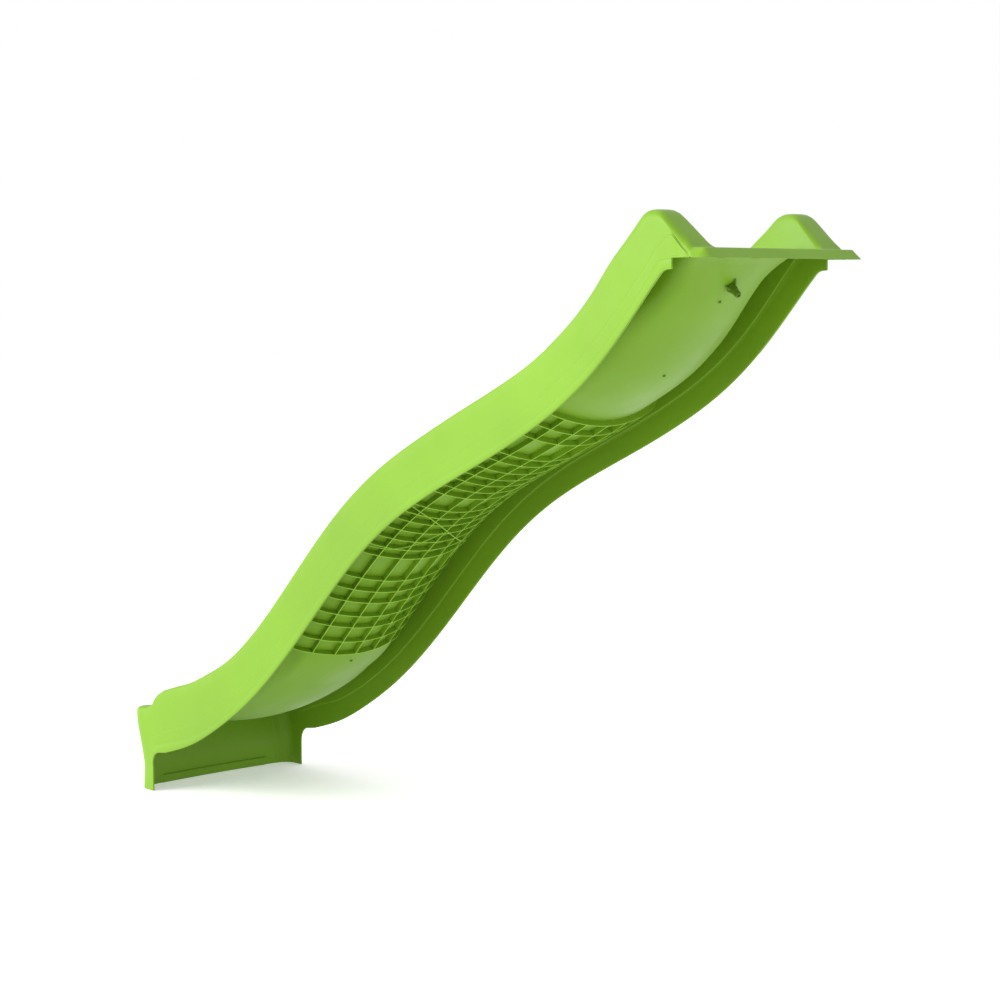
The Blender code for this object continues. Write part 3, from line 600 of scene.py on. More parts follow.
# ------------------------------------------------------------ skirt sheet
Z_SPLIT = float(LOW[LOW[:, 0] < 1e-6][-1][1])
RIM = 0.0012


def low_normal(arc):
    """Direction from the lower edge into the skirt."""
    def at(v):
        v = min(max(v, 0.0), LOW_ARC[-1])
        return np.array([np.interp(v, LOW_ARC, LOW[:, 0]),
                         np.interp(v, LOW_ARC, LOW[:, 1])])
    t = at(arc + 0.0012) - at(arc - 0.0012)
    t /= np.linalg.norm(t)
    return np.array([-t[1], t[0]])


def step_out(v, v1, v2, v3, k1, k2, k3):
    """Offsets of the outer and inner face at distance v down the skirt."""
    w = 0.0008
    t1, t2, t3 = (smooth01((v - q + w) / (2 * w)) for q in (v1, v2, v3))
    return STEP * (k1 * t1 + k2 * t2), 1.05 * STEP * k3 * t3


skirt_a, skirt_b = [], []      # rows along the boundary, columns downwards
kinds = []                      # (x of the row, row is in front part)
edge_dirs = []
bound = [(0, j, True) for j in range(J)] + \
    [(i, J, False) for i in range(len(sheet_a))]
for i, j, is_front in bound:
    P = sheet_a[i][j]
    s = rows_s[i][j]
    ro = r_out(0) if is_front or i == 0 else Y_TOP - P[1]
    th = angle[i][j]
    n2 = bed_normal(s)
    if is_front or i == 0:
        N = np.array([0.0, -math.sin(th), math.cos(th)])
    else:
        N = np.array([n2[0], 0.0, n2[1]])
    yc = Y_TOP - CORNER_R
    if is_front or i == 0:
        if P[1] <= yc:
            g = 2 * BULGE * P[1] / yc ** 2 * smooth01((yc - P[1]) / 0.05)
            d = np.array([-1.0, g, 0.0])
        else:
            q = CORNER_R - ro
            sn = min(1.0, (P[1] - yc) / q)
            d = np.array([-math.sqrt(1 - sn * sn), sn, 0.0])
        if i == 0 and j == J:
            d = np.array([0.0, 1.0, 0.0])
        d /= np.linalg.norm(d)
    else:
        d = np.array([0.0, 1.0, 0.0])
    c0 = P - N * ro
    col_a, col_b = [], []
    for k in range(1, NO + 1):
        f = 0.5 * math.pi * k / NO
        for col, r in ((col_a, ro), (col_b, ro - WALL)):
            col.append(c0 + N * r * math.cos(f) + d * r * math.sin(f))
    # direction of the skirt's columns
    xb = P[0]
    side = not (is_front or i == 0)
    w = smooth01((0.12 - xb) / 0.08)
    dn = -n2 * (1 - w) + np.array([0.0, -1.0]) * w
    if not side or i < NE and xb <= 1e-9:
        dn = np.array([0.0, -1.0])
    dn /= np.linalg.norm(dn)
    start = np.array([c0[0], c0[2]])
    if side and xb > 1e-7:
        length, hit = crossing(LOW, start, dn, 0.002, 0.35)
        arc = LOW_ARC[hit[0]] + hit[1] * (LOW_ARC[hit[0] + 1]
                                          - LOW_ARC[hit[0]])
        nu = low_normal(arc)
    else:
        length = start[1] - Z_SPLIT
        nu = None
    v1 = crossing(STEP_1, start, dn, -0.05, 0.3)[0]
    v2 = crossing(STEP_2, start, dn, -0.05, 0.3, True)[0]
    v3 = crossing(STEP_3, start, dn, -0.05, 0.3)[0]
    if is_front or xb < -0.044:
        v1 = start[1] - 0.1360
        v2 = start[1] - 0.1120
        v3 = start[1] - 0.1440
    v1 = 0.45 * length if v1 is None else v1
    v2 = 0.75 * length if v2 is None else v2
    sc = min(1.0, length / 0.030)
    v2 = min(v2, length - 0.0042 * sc)
    v1 = min(v1, v2 - 0.0060 * sc)
    v1 = max(v1, 0.0030 * sc)
    v2 = max(v2, v1 + 0.0045 * sc)
    v3 = 0.35 * length if v3 is None else v3
    v3 = max(min(v3, v1 - 0.0052 * sc), 0.45 * (v1 - 0.0022 * sc))
    k1 = smooth01((xb + 0.030) / 0.055) * smooth01((v2 - v1 - 0.004) / 0.004)
    k2 = smooth01((xb + 0.020) / 0.055)
    k3 = k1
    if xb > 1.60:
        k1 *= smooth01((1.6565 - xb) / 0.004) * \
            (1 + 0.9 * smooth01((xb - 1.60) / 0.02))
        k3 = smooth01((1.6350 - xb) / 0.020)
        k2 *= smooth01((1.6250 - xb) / 0.012)
    lead = [0.33 * v3, 0.66 * v3, v3 - 0.0020 * sc, v3 - 0.0008 * sc,
            v3 - 0.00027 * sc, v3 + 0.00027 * sc, v3 + 0.0008 * sc,
            v1 - 0.0022 * sc, v1 - 0.0008 * sc,
            v1 - 0.00027 * sc, v1 + 0.00027 * sc,
            v1 + 0.0008 * sc, v1 + 0.0022 * sc]
    gap = v2 - v1
    lead += [v1 + 0.36 * gap, v1 + 0.64 * gap, v2 - 0.0022 * sc,
             v2 - 0.0008 * sc, v2 - 0.00027 * sc, v2 + 0.00027 * sc,
             v2 + 0.0008 * sc]
    rest = length - v2 - 0.0008 * sc
    lead += [v2 + 0.0008 * sc + 0.45 * rest]
    lead = sorted(lead)
    ends = []
    for v in lead + [None]:
        if v is None:
            if nu is not None:
                xz = start + dn * length + nu * RIM
            else:
                xz = start + dn * length
                if side and abs(xb) < 1e-7:
                    xz = xz + np.array([-RIM, 0.0])
            v = length
        else:
            xz = start + dn * v
        ends.append((xz, step_out(v, v1, v2, v3, k1, k2, k3)))
    lean_top = front_lean(min(start[1], 0.2))[0]
    if is_front or xb <= -0.044 + 1e-9:
        lw = 1.0
    elif xb < 0:
        lw = smooth01(-xb / 0.044)
    else:
        lw = 0.0
    for xz, o in ends:
        x, z = float(xz[0]), float(xz[1])
        dx = (front_lean(min(z, 0.2))[0] - lean_top) * lw
        for col, r in ((col_a, ro + o[0]), (col_b, ro - WALL + o[1])):
            q = np.array([c0[0] + (x - start[0]) + dx, c0[1], z])
            col.append(q + d * r)
    skirt_a.append(col_a)
    skirt_b.append(col_b)
    kinds.append((xb, is_front or i == 0))
    edge_dirs.append((nu, d, c0, ro, lw, lean_top, xb))

# ------------------------------------------------- lower part of the front
FOOT_Z = [0.056, 0.045, 0.034, 0.0250, 0.0225, 0.0210, 0.0198, 0.0186,
          0.0175, 0.0160, 0.0130, 0.0080, 0.0030, RIM]
n_low = sum(1 for k in edge_dirs if k[6] <= 1e-7)
low_a, low_b = [], []
for r in range(n_low):
    nu, d, c0, ro, lw, lean_top, xb = edge_dirs[r]
    ca, cb = [], []
    last = skirt_a[r][-1]
    for z in FOOT_Z:
        u = min(1.0, max(0.0, (xb + 0.0055) / 0.0055))
        lift = 0.0055 * (1 - math.sqrt(max(0.0, 1 - u * u * 0.96)))
        z = z + lift * max(0.0, 1 - z / 0.022)
        dx = (front_lean(z)[0] - lean_top) * lw
        if abs(xb) < 1e-7:
            dx -= RIM
        # the inner face carries a low ledge along the bottom of the wall
        y0 = abs(c0[1])
        ledge = 0.0034 * smooth01((0.0212 - z) / 0.0030) * \
            smooth01((0.160 - y0) / 0.010)
        ca.append(np.array([c0[0] + dx, c0[1], z]) + d * ro)
        cb.append(np.array([c0[0] + dx, c0[1], z])
                  + d * (ro - WALL - ledge))
    low_a.append(ca)
    low_b.append(cb)

# ------------------------------------------------------------ build shell


class Shell:
    def __init__(self):
        self.co = []
        self.faces = []
        self.wear_and_highlight = []

    def add(self, p, wear_and_highlight=0.0):
        self.co.append((p[0] - X_MID, max(0.0, p[1]) if abs(p[1]) < 2e-6
                        else p[1], p[2]))
        self.wear_and_highlight.append(wear_and_highlight)
        return len(self.co) - 1

    def grid(self, rows, flip=False):
        for a, b in zip(rows[:-1], rows[1:]):
            for i in range(len(a) - 1):
                q = [a[i], a[i + 1], b[i + 1], b[i]]
                q = [v for k, v in enumerate(q) if v not in q[:k]]
                if len(q) < 3:
                    continue
                self.faces.append(q[::-1] if flip else q)


sh = Shell()
ia, ib = [], []
for i in range(len(sheet_a)):
    ra, rb = [], []
    for j in range(J + 1):
        y = sheet_a[i][j][1]
        if j <= NB:
            w = 0.75 * math.exp(-(y / 0.10) ** 2)
        elif j <= NB + NW:
            w = 0.12
        elif j <= NB + NW + NF:
            w = 0.55
        else:
            w = 0.30
        ra.append(sh.add(sheet_a[i][j], w))
        rb.append(sh.add(sheet_b[i][j], 0.0))
    ia.append(ra)
    ib.append(rb)
sh.grid(ia)
sh.grid(ib, True)

ka, kb = [], []
for r, (i, j, f) in enumerate(bound):
    ca, cb = [ia[i][j]], [ib[i][j]]
    for c in range(len(skirt_a[r])):
        ca.append(sh.add(skirt_a[r][c], 0.35 if c < NO else 0.0))
        cb.append(sh.add(skirt_b[r][c], 0.0))
    ka.append(ca)
    kb.append(cb)
sh.grid(ka, True)
sh.grid(kb)

la, lb = [], []
for r in range(n_low):
    la.append([ka[r][-1]] + [sh.add(p, 0.2) for p in low_a[r]])
    lb.append([kb[r][-1]] + [sh.add(p, 0.0) for p in low_b[r]])
sh.grid(la, True)
sh.grid(lb)

# rim: along the ground, up the back of the foot, along the skirt's edge
path = []
for r in range(n_low):
    nu = np.array([0.0, 0.0, 1.0])
    if r == n_low - 1:
        nu = np.array([-1.0, 0.0, 1.0])
    path.append((la[r][-1], lb[r][-1], nu))
for c in range(len(la[-1]) - 2, -1, -1):
    path.append((la[-1][c], lb[-1][c], np.array([-1.0, 0.0, 0.0])))
for r in range(n_low, len(ka)):
    nu = edge_dirs[r][0]
    path.append((ka[r][-1], kb[r][-1], np.array([nu[0], 0.0, nu[1]])))
co = sh.co
rim_rows = []
for a, b, nu in path:
    pa = np.array(co[a]) + np.array([X_MID, 0, 0])
    pb = np.array(co[b]) + np.array([X_MID, 0, 0])
    row = [a]
    for t, back in ((0.03, 0.62), (0.10, 0.28), (0.22, 0.06), (0.36, 0.0),
                    (0.64, 0.0), (0.78, 0.06), (0.90, 0.28), (0.97, 0.62)):
        row.append(sh.add(pa + (pb - pa) * t - nu * RIM * (1 - back), 0.5))
    row.append(b)
    rim_rows.append(row)
sh.grid(rim_rows)

# rear end, where the flange piece carries on
ra = ia[-1] + ka[-1][1:]
rb = ib[-1] + kb[-1][1:]
sh.grid([ra, rb])
sh.faces.append(list(reversed(rim_rows[-1])))


def mirrored(shell, name):
    n = len(shell.co)
    co = list(shell.co)
    wear_and_highlight = list(shell.wear_and_highlight)
    other = []
    for v, p in enumerate(shell.co):
        if abs(p[1]) < 1e-7:
            other.append(v)
        else:
            other.append(len(co))
            co.append((p[0], -p[1], p[2]))
            wear_and_highlight.append(shell.wear_and_highlight[v])
    faces = list(shell.faces)
    faces += [[other[v] for v in reversed(f)] for f in shell.faces]
    mesh = bpy.data.meshes.new(name)
    mesh.from_pydata(co, [], faces)
    at = mesh.attributes.new("wear_and_highlight", 'FLOAT', 'POINT')
    at.data.foreach_set("value", wear_and_highlight)
    mesh.validate()
    return mesh


def finish_object(name, mesh, angle=35):
    bm = bmesh.new()
    bm.from_mesh(mesh)
    bmesh.ops.remove_doubles(bm, verts=bm.verts, dist=1e-7)
    bmesh.ops.dissolve_degenerate(bm, dist=1e-8, edges=bm.edges)
    bmesh.ops.recalc_face_normals(bm, faces=bm.faces)
    open_edges = sum(1 for e in bm.edges if len(e.link_faces) != 2)
    print(name, "faces", len(bm.faces), "open or branching edges", open_edges)
    bm.to_mesh(mesh)
    bm.free()
    obj = bpy.data.objects.new(name, mesh)
    bpy.context.scene.collection.objects.link(obj)
    mesh.shade_smooth()
    mesh.set_sharp_from_angle(angle=math.radians(angle))
    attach(obj, "root")
    return obj


moulding = finish_object("slide_moulding", mirrored(sh, "slide_moulding"))
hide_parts("bed_exit", "bed_lower", "bed_middle", "bed_upper",
            "bed_crest",
            "side_wall_left", "side_wall_right", "rail_left", "rail_right",
            "start_hump_left", "start_hump_right", "skirt_left",
            "skirt_right", "exit_wall", "foot_left", "foot_right")

# ---------------------------------------------------------------- rib grid
P1_ARC, P1_ROWS = profile(1.0)


def under(s, a, off):
    """Point on the hollow bed's underside at arc length a, moved by off."""
    b = abs(a)
    y, h, ny, nh = (float(np.interp(b, P1_ARC, P1_ROWS[:, i]))
                    for i in range(4))
    return place(s, math.copysign(1.0, a) * (y + off * ny), h + off * nh)


ROOT, TIP = 0.0016, 0.00095      # half thickness of the ribs, with draft
EMBED = 0.0010


def spread(centres, extra):
    """Lines (root, tip, solid up to the next) across a set of ribs."""
    out = []
    for i, c in enumerate(centres):
        out.append((c - ROOT, c - TIP, True))
        out.append((c + ROOT, c + TIP, False))
        if i < len(centres) - 1:
            gap = centres[i + 1] - c
            n = max(1, int(round(gap / extra)) - 1)
            for k in range(1, n + 1):
                v = c + gap * k / (n + 1)
                out.append((v, v, False))
    return out


s_lines = spread(list(RIBS), 0.011)
a_lines = spread([k * RIB_PITCH_Y for k in range(-RIB_SIDE, RIB_SIDE + 1)],
                 0.0085)
bm = bmesh.new()
root, tip = {}, {}
for i, (s, st, _) in enumerate(s_lines):
    for j, (a, at, _) in enumerate(a_lines):
        p = under(s, a, EMBED)
        root[i, j] = bm.verts.new((p[0] - X_MID, p[1], p[2]))
        p = under(st, at, -RIB_DEPTH)
        tip[i, j] = bm.verts.new((p[0] - X_MID, p[1], p[2]))
ni, nj = len(s_lines) - 1, len(a_lines) - 1


def solid(i, j):
    if i < 0 or j < 0 or i >= ni or j >= nj:
        return False
    return s_lines[i][2] or a_lines[j][2]


for i in range(ni):
    for j in range(nj):
        if not solid(i, j):
            continue
        bm.faces.new((root[i, j], root[i, j + 1],
                      root[i + 1, j + 1], root[i + 1, j]))
        bm.faces.new((tip[i, j], tip[i + 1, j],
                      tip[i + 1, j + 1], tip[i, j + 1]))
        for di, dj, p, q in ((-1, 0, (i, j), (i, j + 1)),
                             (1, 0, (i + 1, j + 1), (i + 1, j)),
                             (0, -1, (i + 1, j), (i, j)),
                             (0, 1, (i, j + 1), (i + 1, j + 1))):
            if not solid(i + di, j + dj):
                bm.faces.new((root[p], tip[p], tip[q], root[q]))
bmesh.ops.delete(bm, geom=[v for v in bm.verts if not v.link_faces],
                 context='VERTS')
# painted highlight: the free edges (tips) of the ribs are marked so their
# colour is lightened, as where light catches them
tips = set(tip.values())
bm.verts.index_update()
rib_tip_highlight = [1.0 if v in tips else 0.0 for v in bm.verts]
mesh = bpy.data.meshes.new("rib_grid")
bm.to_mesh(mesh)
bm.free()
at = mesh.attributes.new("wear_and_highlight", 'FLOAT', 'POINT')
at.data.foreach_set("value", rib_tip_highlight)
rib_obj = finish_object("rib_grid", mesh, 30)
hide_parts("rib_grid_lower", "rib_grid_centre", "rib_grid_upper",
            "rib_grid_top")


# two shallow curved beads that cross the free edges of the ribs
def bead(points, a0, a1, count):
    """Closed strip along s(a), set into the edges of the rib grid."""
    f = natural_spline(points)
    rows = []
    for a in np.linspace(a0, a1, count):
        v, slope = f(a)
        q = math.hypot(slope, 1.0)
        ds, da = 0.0008 / q, -0.0008 * slope / q
        row = []
        for k, off in ((-1, -RIB_DEPTH + 0.0016), (1, -RIB_DEPTH + 0.0016),
                       (0.8, -RIB_DEPTH - 0.0007),
                       (-0.8, -RIB_DEPTH - 0.0007)):
            p = under(S_RIB0 + v + k * ds, a + k * da, off)
            row.append(bm.verts.new((p[0] - X_MID, p[1], p[2])))
        rows.append(row)
    for u, w in zip(rows[:-1], rows[1:]):
        for k in range(4):
            bm.faces.new((u[k], u[(k + 1) % 4], w[(k + 1) % 4], w[k]))
    bm.faces.new(rows[0][::-1])
    bm.faces.new(rows[-1])


bm = bmesh.new()
bead([(-0.150, 0.5085), (-0.1073, 0.4914), (-0.0575, 0.4676),
      (0.0295, 0.4079), (0.1353, 0.3364), (0.150, 0.3290)],
     -0.150, 0.150, 60)
bead([(-0.150, 0.3480), (-0.0950, 0.3540), (-0.0606, 0.3700),
      (-0.0300, 0.3960), (-0.0060, 0.4240)], -0.150, -0.0060, 34)
mesh = bpy.data.meshes.new("curved_beads")
bm.to_mesh(mesh)
bm.free()
# painted highlight: the whole bead takes the bright colour of the rib edges
at = mesh.attributes.new("wear_and_highlight", 'FLOAT', 'POINT')
at.data.foreach_set("value", [1.0] * len(mesh.vertices))
beads = finish_object("curved_beads", mesh, 40)


# ------------------------------------------------------------ flange piece
LIP_X, LIP_Y, LIP_R, LIP_RUN = 1.682, 0.214, 0.005, 0.018
LIP_X0 = 1.645            # the lip starts inside the end of the humps
outline = [(LIP_X0, -LIP_Y)]
for k in range(13):
    a = math.radians(90 * k / 12)
    outline.append((LIP_X - LIP_R + LIP_R * math.sin(a),
                    -(LIP_Y - LIP_R) - LIP_R * math.cos(a)))
for y in np.linspace(-(LIP_Y - LIP_R), LIP_Y - LIP_R, 15)[1:-1]:
    outline.append((LIP_X, y))
for k in range(13):
    a = math.radians(90 * k / 12)
    outline.append((LIP_X - LIP_R + LIP_R * math.cos(a),
                    (LIP_Y - LIP_R) + LIP_R * math.sin(a)))
outline.append((LIP_X0, LIP_Y))
out_dirs = []
for k, p in enumerate(outline):
    if k in (0, len(outline) - 1):
        out_dirs.append((1.28, math.copysign(1.0, p[1])))
        continue
    qx = p[0] - (LIP_X - LIP_R)
    if abs(p[1]) > LIP_Y - LIP_R - 1e-9:
        qy = p[1] - math.copysign(LIP_Y - LIP_R, p[1])
        n = math.hypot(qx, qy)
        out_dirs.append((qx / n, qy / n))
    else:
        out_dirs.append((1.0, 0.0))
ZT, ZL = DECK_TOP, PLATFORM_TOP
outer = [(-0.0016, ZT), (0.0, ZT - 0.0002), (0.0013, ZT - 0.0008),
         (0.0026, ZT - 0.0019), (0.0060, ZT - 0.0056),
         (0.0120, ZT - 0.0120), (0.0166, ZT - 0.0166),
         (0.0176, ZL + 0.0009), (0.0178, ZL + 0.0004), (0.0174, ZL)]
inner = [(-0.0036, ZT - WALL), (-0.0026, ZT - WALL - 0.0002),
         (-0.0012, ZT - WALL - 0.0008), (0.0000, ZT - WALL - 0.0019),
         (0.0030, ZT - WALL - 0.0052), (0.0082, ZT - WALL - 0.0107),
         (0.0112, ZL + 0.0012), (0.0120, ZL + 0.0004), (0.0128, ZL)]
bm = bmesh.new()


def flange_rows(sec):
    rows = []
    for (e, z) in sec:
        rows.append([bm.verts.new((p[0] + d[0] * e - X_MID,
                                   p[1] + d[1] * e, z))
                     for p, d in zip(outline, out_dirs)])
    return rows


fo, fi = flange_rows(outer), flange_rows(inner)
for rows, flip in ((fo, False), (fi, True)):
    for a, b in zip(rows[:-1], rows[1:]):
        for k in range(len(a) - 1):
            bm.faces.new((a[k], a[k + 1], b[k + 1], b[k]))
for k in range(len(fo[-1]) - 1):
    bm.faces.new((fo[-1][k], fo[-1][k + 1], fi[-1][k + 1], fi[-1][k]))
front = [[bm.verts.new((X_END - 0.0030 - X_MID, y, z))
          for y in (-0.155, 0.155)] for z in (ZT, ZT - WALL)]
bm.faces.new(fo[0] + front[0][::-1])
bm.faces.new(fi[0] + front[1][::-1])
bm.faces.new((fo[0][0], front[0][0], front[1][0], fi[0][0]))
bm.faces.new((front[0][0], front[0][1], front[1][1], front[1][0]))
bm.faces.new((front[0][1], fo[0][-1], fi[0][-1], front[1][1]))
for e in (0, -1):
    loop = [r[e] for r in fo] + [r[e] for r in reversed(fi)]
    bm.faces.new(loop)
bmesh.ops.recalc_face_normals(bm, faces=bm.faces)
print("flange before the holes, open edges",
      sum(1 for e in bm.edges if len(e.link_faces) != 2))
mesh = bpy.data.meshes.new("flange_edge")
bm.to_mesh(mesh)
bm.free()
flange = bpy.data.objects.new("flange_edge", mesh)
bpy.context.scene.collection.objects.link(flange)

bm = bmesh.new()
for name in ("screw_boss_1", "screw_boss_2", "screw_boss_3", "screw_boss_4"):
    lo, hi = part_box(name)
    cx, cy = 0.5 * (lo[0] + hi[0]), 0.5 * (lo[1] + hi[1])
    rings = [[bm.verts.new((cx + r * math.cos(math.tau * k / 40),
                            cy + r * math.sin(math.tau * k / 40),
                            DECK_TOP + z)) for k in range(40)]
             for r, z in ((0.0035, -0.0150), (0.0035, -0.0013),
                          (0.0058, 0.0003), (0.0058, 0.0050))]
    for a, b in zip(rings[:-1], rings[1:]):
        for k in range(40):
            bm.faces.new((a[k], a[(k + 1) % 40], b[(k + 1) % 40], b[k]))
    bm.faces.new(rings[0][::-1])
    bm.faces.new(rings[-1])
cut_mesh = bpy.data.meshes.new("flange_holes")
bm.to_mesh(cut_mesh)
bm.free()
cutter = bpy.data.objects.new("flange_holes", cut_mesh)
bpy.context.scene.collection.objects.link(cutter)
mod = flange.modifiers.new("holes", 'BOOLEAN')
mod.operation = 'DIFFERENCE'
mod.solver = 'EXACT'
mod.object = cutter
dg = bpy.context.evaluated_depsgraph_get()
cut = bpy.data.meshes.new_from_object(flange.evaluated_get(dg))
bpy.data.objects.remove(flange, do_unlink=True)
bpy.data.objects.remove(cutter, do_unlink=True)
at = cut.attributes.new("wear_and_highlight", 'FLOAT', 'POINT')
at.data.foreach_set("value", [0.35] * len(cut.vertices))
flange = finish_object("flange_edge", cut, 32)
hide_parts("flange_deck", "flange_lip")


# ------------------------------------------------------------- pips
def pip(x, y):
    """Small moulding mark on the underside of the bed."""
    s = s_at_x(x)
    for _ in range(4):
        s += x - under(s, y, -0.0006)[0]
    p = under(s, y, 0.0)
    n = bed_normal(s)
    return p, n


bm = bmesh.new()
for x, y in ((1.5337, 0.0), (1.3936, 0.0), (0.4430, 0.0)):
    s = s_at_x(x)
    d = lower_extra(s)
    q = under(s, y, -d)
    n = bed_normal(s)
    z = Vector((n[0], 0, n[1]))
    rot = z.to_track_quat('Z', 'Y').to_matrix().to_4x4()
    m = Matrix.Translation((q[0] - X_MID, q[1], q[2])) @ rot
    bmesh.ops.create_uvsphere(
        bm, u_segments=20, v_segments=12, radius=1.0,
        matrix=m @ Matrix.Diagonal((0.0040, 0.0028, 0.0032, 1.0)))
mesh = bpy.data.meshes.new("mould_pips")
bm.to_mesh(mesh)
bm.free()
at = mesh.attributes.new("wear_and_highlight", 'FLOAT', 'POINT')
at.data.foreach_set("value", [0.0] * len(mesh.vertices))
pips = finish_object("mould_pips", mesh, 60)


# --------------------------------------------------------------- materials
def new_material(name):
    mat = bpy.data.materials.new(name)
    mat.use_nodes = True
    nt = mat.node_tree
    return mat, nt, nt.nodes["Principled BSDF"]


def noise(nt, scale, detail=4.0, rough=0.5, vec=None, stretch=None):
    n = nt.nodes.new("ShaderNodeTexNoise")
    n.inputs["Scale"].default_value = scale
    n.inputs["Detail"].default_value = detail
    n.inputs["Roughness"].default_value = rough
    c = nt.nodes.new("ShaderNodeTexCoord")
    if stretch:
        m = nt.nodes.new("ShaderNodeMapping")
        m.inputs["Scale"].default_value = stretch
        nt.links.new(c.outputs["Object"], m.inputs["Vector"])
        nt.links.new(m.outputs["Vector"], n.inputs["Vector"])
    else:
        nt.links.new(c.outputs["Object"], n.inputs["Vector"])
    return n


def ramp(nt, src, lo, hi, a=0.0, b=1.0):
    r = nt.nodes.new("ShaderNodeMapRange")
    r.inputs["From Min"].default_value = lo
    r.inputs["From Max"].default_value = hi
    r.inputs["To Min"].default_value = a
    r.inputs["To Max"].default_value = b
    nt.links.new(src, r.inputs["Value"])
    return r.outputs["Result"]


def math_node(nt, op, a, b):
    n = nt.nodes.new("ShaderNodeMath")
    n.operation = op
    for i, v in enumerate((a, b)):
        if isinstance(v, (int, float)):
            n.inputs[i].default_value = v
        else:
            nt.links.new(v, n.inputs[i])
    return n.outputs["Value"]


def mix(nt, fac, a, b):
    n = nt.nodes.new("ShaderNodeMix")
    n.data_type = 'RGBA'
    if isinstance(fac, (int, float)):
        n.inputs["Factor"].default_value = fac
    else:
        nt.links.new(fac, n.inputs["Factor"])
    for key, v in (("A", a), ("B", b)):
        sock = [i for i in n.inputs if i.name == key
                and i.type == 'RGBA'][0]
        if isinstance(v, tuple):
            sock.default_value = (*v, 1.0)
        else:
            nt.links.new(v, sock)
    return [o for o in n.outputs if o.type == 'RGBA'][0]


def plastic(name, base, wear_and_highlight_colour, rough=0.46, grain=1.0, spec=0.24,
            edge=0.0, least=0.05):
    """Satin moulded polyethylene with flow variation, fine grain and wear; on
    the rib tips and beads the same mix is a painted highlight.
    """
    mat, nt, b = new_material(name)
    link = nt.links.new
    at = nt.nodes.new("ShaderNodeAttribute")
    at.attribute_name = "wear_and_highlight"
    broad = noise(nt, 2.2, 3.0, 0.5)
    cloud = noise(nt, 11.0, 5.0, 0.55, stretch=(1.0, 1.6, 1.0))
    fine = noise(nt, 260.0, 3.0, 0.6)
    scratch = noise(nt, 38.0, 6.0, 0.7, stretch=(1.0, 9.0, 1.0))
    dark = tuple(c * 0.90 for c in base)
    light = tuple(min(1.0, c * 1.06) for c in base)
    c1 = mix(nt, ramp(nt, broad.outputs["Fac"], 0.35, 0.65), dark, light)
    c2 = mix(nt, ramp(nt, cloud.outputs["Fac"], 0.40, 0.72, 0.0, 0.20),
             c1, tuple(c * 0.93 for c in base))
    # mask of real wear on the moulding, and of a painted highlight on the rib
    # tips and beads
    wear_and_highlight_mask = math_node(nt, 'MULTIPLY', ramp(nt, at.outputs["Fac"], edge, 1.0),
                    ramp(nt, scratch.outputs["Fac"], 0.42, 0.66, least, 0.75))
    c3 = mix(nt, wear_and_highlight_mask, c2, wear_and_highlight_colour)
    c4 = mix(nt, ramp(nt, fine.outputs["Fac"], 0.60, 0.76, 0.0, 0.10),
             c3, tuple(c * 0.72 for c in base))
    link(c4, b.inputs["Base Color"])
    r1 = ramp(nt, cloud.outputs["Fac"], 0.3, 0.7, rough - 0.04, rough + 0.06)
    r2 = math_node(nt, 'MULTIPLY', wear_and_highlight_mask, 0.22)
    link(math_node(nt, 'ADD', r1, r2), b.inputs["Roughness"])
    b.inputs["IOR"].default_value = 1.50
    b.inputs["Specular IOR Level"].default_value = spec
    b.inputs["Coat Weight"].default_value = 0.0
    b.inputs["Sheen Weight"].default_value = 0.04
    b.inputs["Sheen Roughness"].default_value = 0.5
    b1 = nt.nodes.new("ShaderNodeBump")
    b1.inputs["Strength"].default_value = 0.35 * grain
    b1.inputs["Distance"].default_value = 0.00025
    link(fine.outputs["Fac"], b1.inputs["Height"])
    wav = noise(nt, 26.0, 2.0, 0.4)
    b2 = nt.nodes.new("ShaderNodeBump")
    b2.inputs["Strength"].default_value = 0.20 * grain
    b2.inputs["Distance"].default_value = 0.0010
    link(wav.outputs["Fac"], b2.inputs["Height"])
    link(b1.outputs["Normal"], b2.inputs["Normal"])
    b3 = nt.nodes.new("ShaderNodeBump")
    b3.inputs["Strength"].default_value = 0.25
    b3.inputs["Distance"].default_value = 0.00015
    link(wear_and_highlight_mask, b3.inputs["Height"])
    link(b2.outputs["Normal"], b3.inputs["Normal"])
    link(b3.outputs["Normal"], b.inputs["Normal"])
    return mat


LIME = (0.138, 0.282, 0.0064)
WORN = (0.172, 0.308, 0.0360)
green = plastic("lime_plastic", LIME, WORN)
# ribs: the bed's green made 10% darker is painted shade; the bright second
# colour is a painted highlight along their free edges
ribs = plastic("lime_plastic_ribs", tuple(c * 0.90 for c in LIME),
               (0.300, 0.560, 0.060), rough=0.60, spec=0.08, edge=0.90,
               least=0.55)
for o, mat in ((moulding, green), (flange, green), (rib_obj, ribs),
               (beads, ribs)):
    o.data.materials.clear()
    o.data.materials.append(mat)
small = plastic("lime_plastic_small", tuple(c * 0.96 for c in LIME), WORN,
                rough=0.42, grain=0.7)
black = plastic("black_rubber", (0.016, 0.016, 0.017), (0.05, 0.05, 0.05),
                rough=0.62, grain=1.4)
# painted shade: the lime green darkened to 56% for the hose fitting and the
# mould pips, which sit in shade under the bed
shaded_green = plastic("lime_plastic_painted_shade", tuple(c * 0.56 for c in LIME),
               tuple(c * 0.60 for c in WORN), rough=0.50, grain=0.8)
pips.data.materials.clear()
pips.data.materials.append(shaded_green)
for name, mat in (("hose_boss", shaded_green), ("boss_gusset_left", shaded_green),
                  ("boss_gusset_right", shaded_green), ("boss_gusset_upper", shaded_green),
                  ("boss_gusset_lower", shaded_green), ("hose_connector", shaded_green),
                  ("screw_boss_1", small), ("screw_boss_2", small),
                  ("screw_boss_3", small), ("screw_boss_4", small),
                  ("spray_nozzle", small), ("nozzle_seal", black)):
    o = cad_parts[name]
    o.data.materials.clear()
    o.data.materials.append(mat)


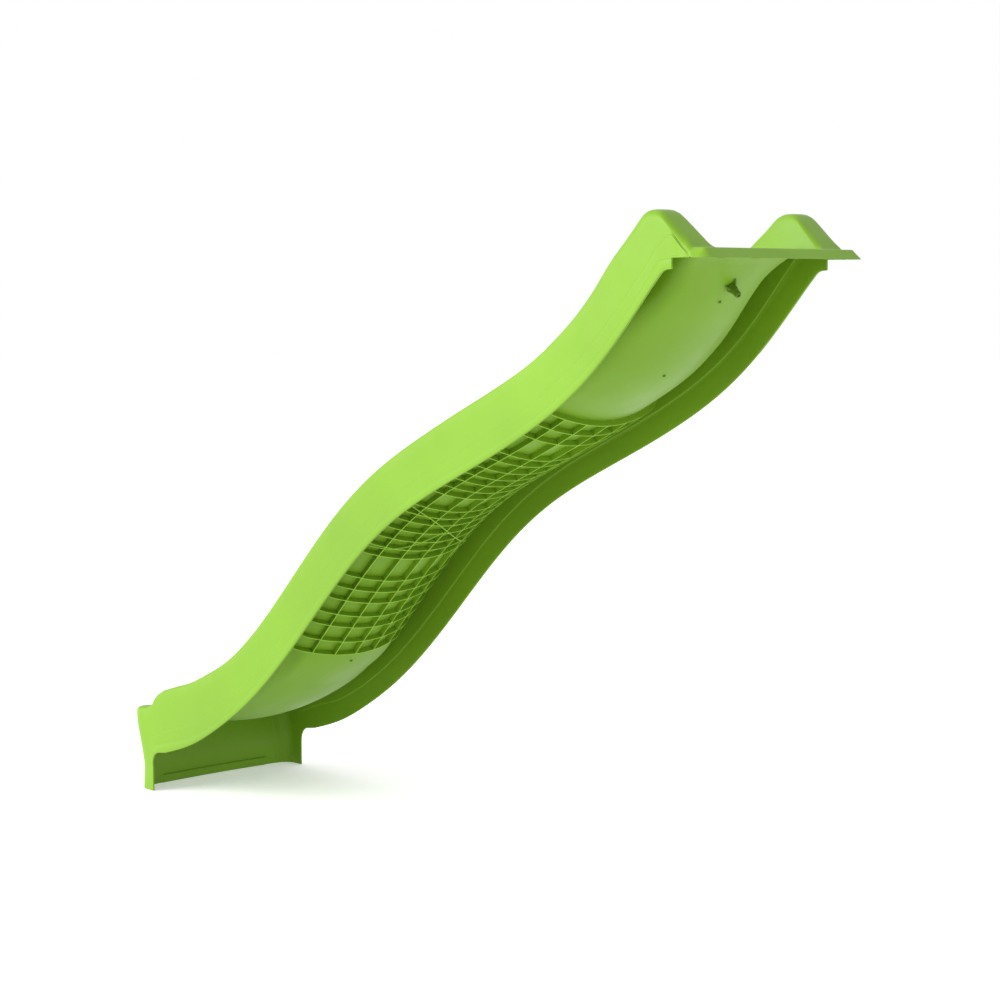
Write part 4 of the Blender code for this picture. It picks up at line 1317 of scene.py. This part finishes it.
# ------------------------------------------------------------ floor, light
def plane(name, size, loc, rot=(0, 0, 0)):
    bm = bmesh.new()
    bmesh.ops.create_grid(bm, x_segments=1, y_segments=1, size=0.5 * size)
    mesh = bpy.data.meshes.new(name)
    bm.to_mesh(mesh)
    bm.free()
    o = bpy.data.objects.new(name, mesh)
    o.location = loc
    o.rotation_euler = rot
    bpy.context.scene.collection.objects.link(o)
    return o


floor = plane("floor", 60.0, (0, 0, -0.0005))
fm, nt, b = new_material("floor_pale")
fn = noise(nt, 1.5, 3.0, 0.5)
nt.links.new(mix(nt, ramp(nt, fn.outputs["Fac"], 0.3, 0.7), (0.82, 0.82, 0.82),
                 (0.84, 0.84, 0.84)), b.inputs["Base Color"])
b.inputs["Roughness"].default_value = 0.9
b.inputs["Specular IOR Level"].default_value = 0.1
b.inputs["Emission Color"].default_value = (1.0, 1.0, 1.0, 1.0)
b.inputs["Emission Strength"].default_value = 0.36
floor.data.materials.append(fm)

world = bpy.data.worlds.new("studio")
world.use_nodes = True
bg = world.node_tree.nodes["Background"]
bg.inputs["Color"].default_value = (1.0, 1.0, 1.0, 1.0)
bg.inputs["Strength"].default_value = 1.0
bpy.context.scene.world = world


def soft_sun(name, toward, angle, strength):
    """Soft light that comes from the direction 'toward'."""
    d = bpy.data.lights.new(name, 'SUN')
    d.angle = math.radians(angle)
    d.energy = strength
    o = bpy.data.objects.new(name, d)
    o.rotation_euler = Vector(toward).to_track_quat('Z', 'Y').to_euler()
    bpy.context.scene.collection.objects.link(o)
    return o


soft_sun("key", (-0.44, -0.86, 0.26), 45.0, 4.90)

# ---------------------------------------------------------------- camera
cam = bpy.data.cameras.new("camera")
cam.lens = 84.559
cam.sensor_width = 36.0
cam.sensor_fit = 'HORIZONTAL'
cam.clip_end = 200.0
co = bpy.data.objects.new("camera", cam)
co.location = (4.4560 - X_MID, -3.3909, 1.1655)
co.rotation_euler = (math.radians(84.8942), 0.0, math.radians(46.0774))
bpy.context.scene.collection.objects.link(co)
bpy.context.scene.camera = co
bpy.context.scene.view_settings.view_transform = 'Standard'
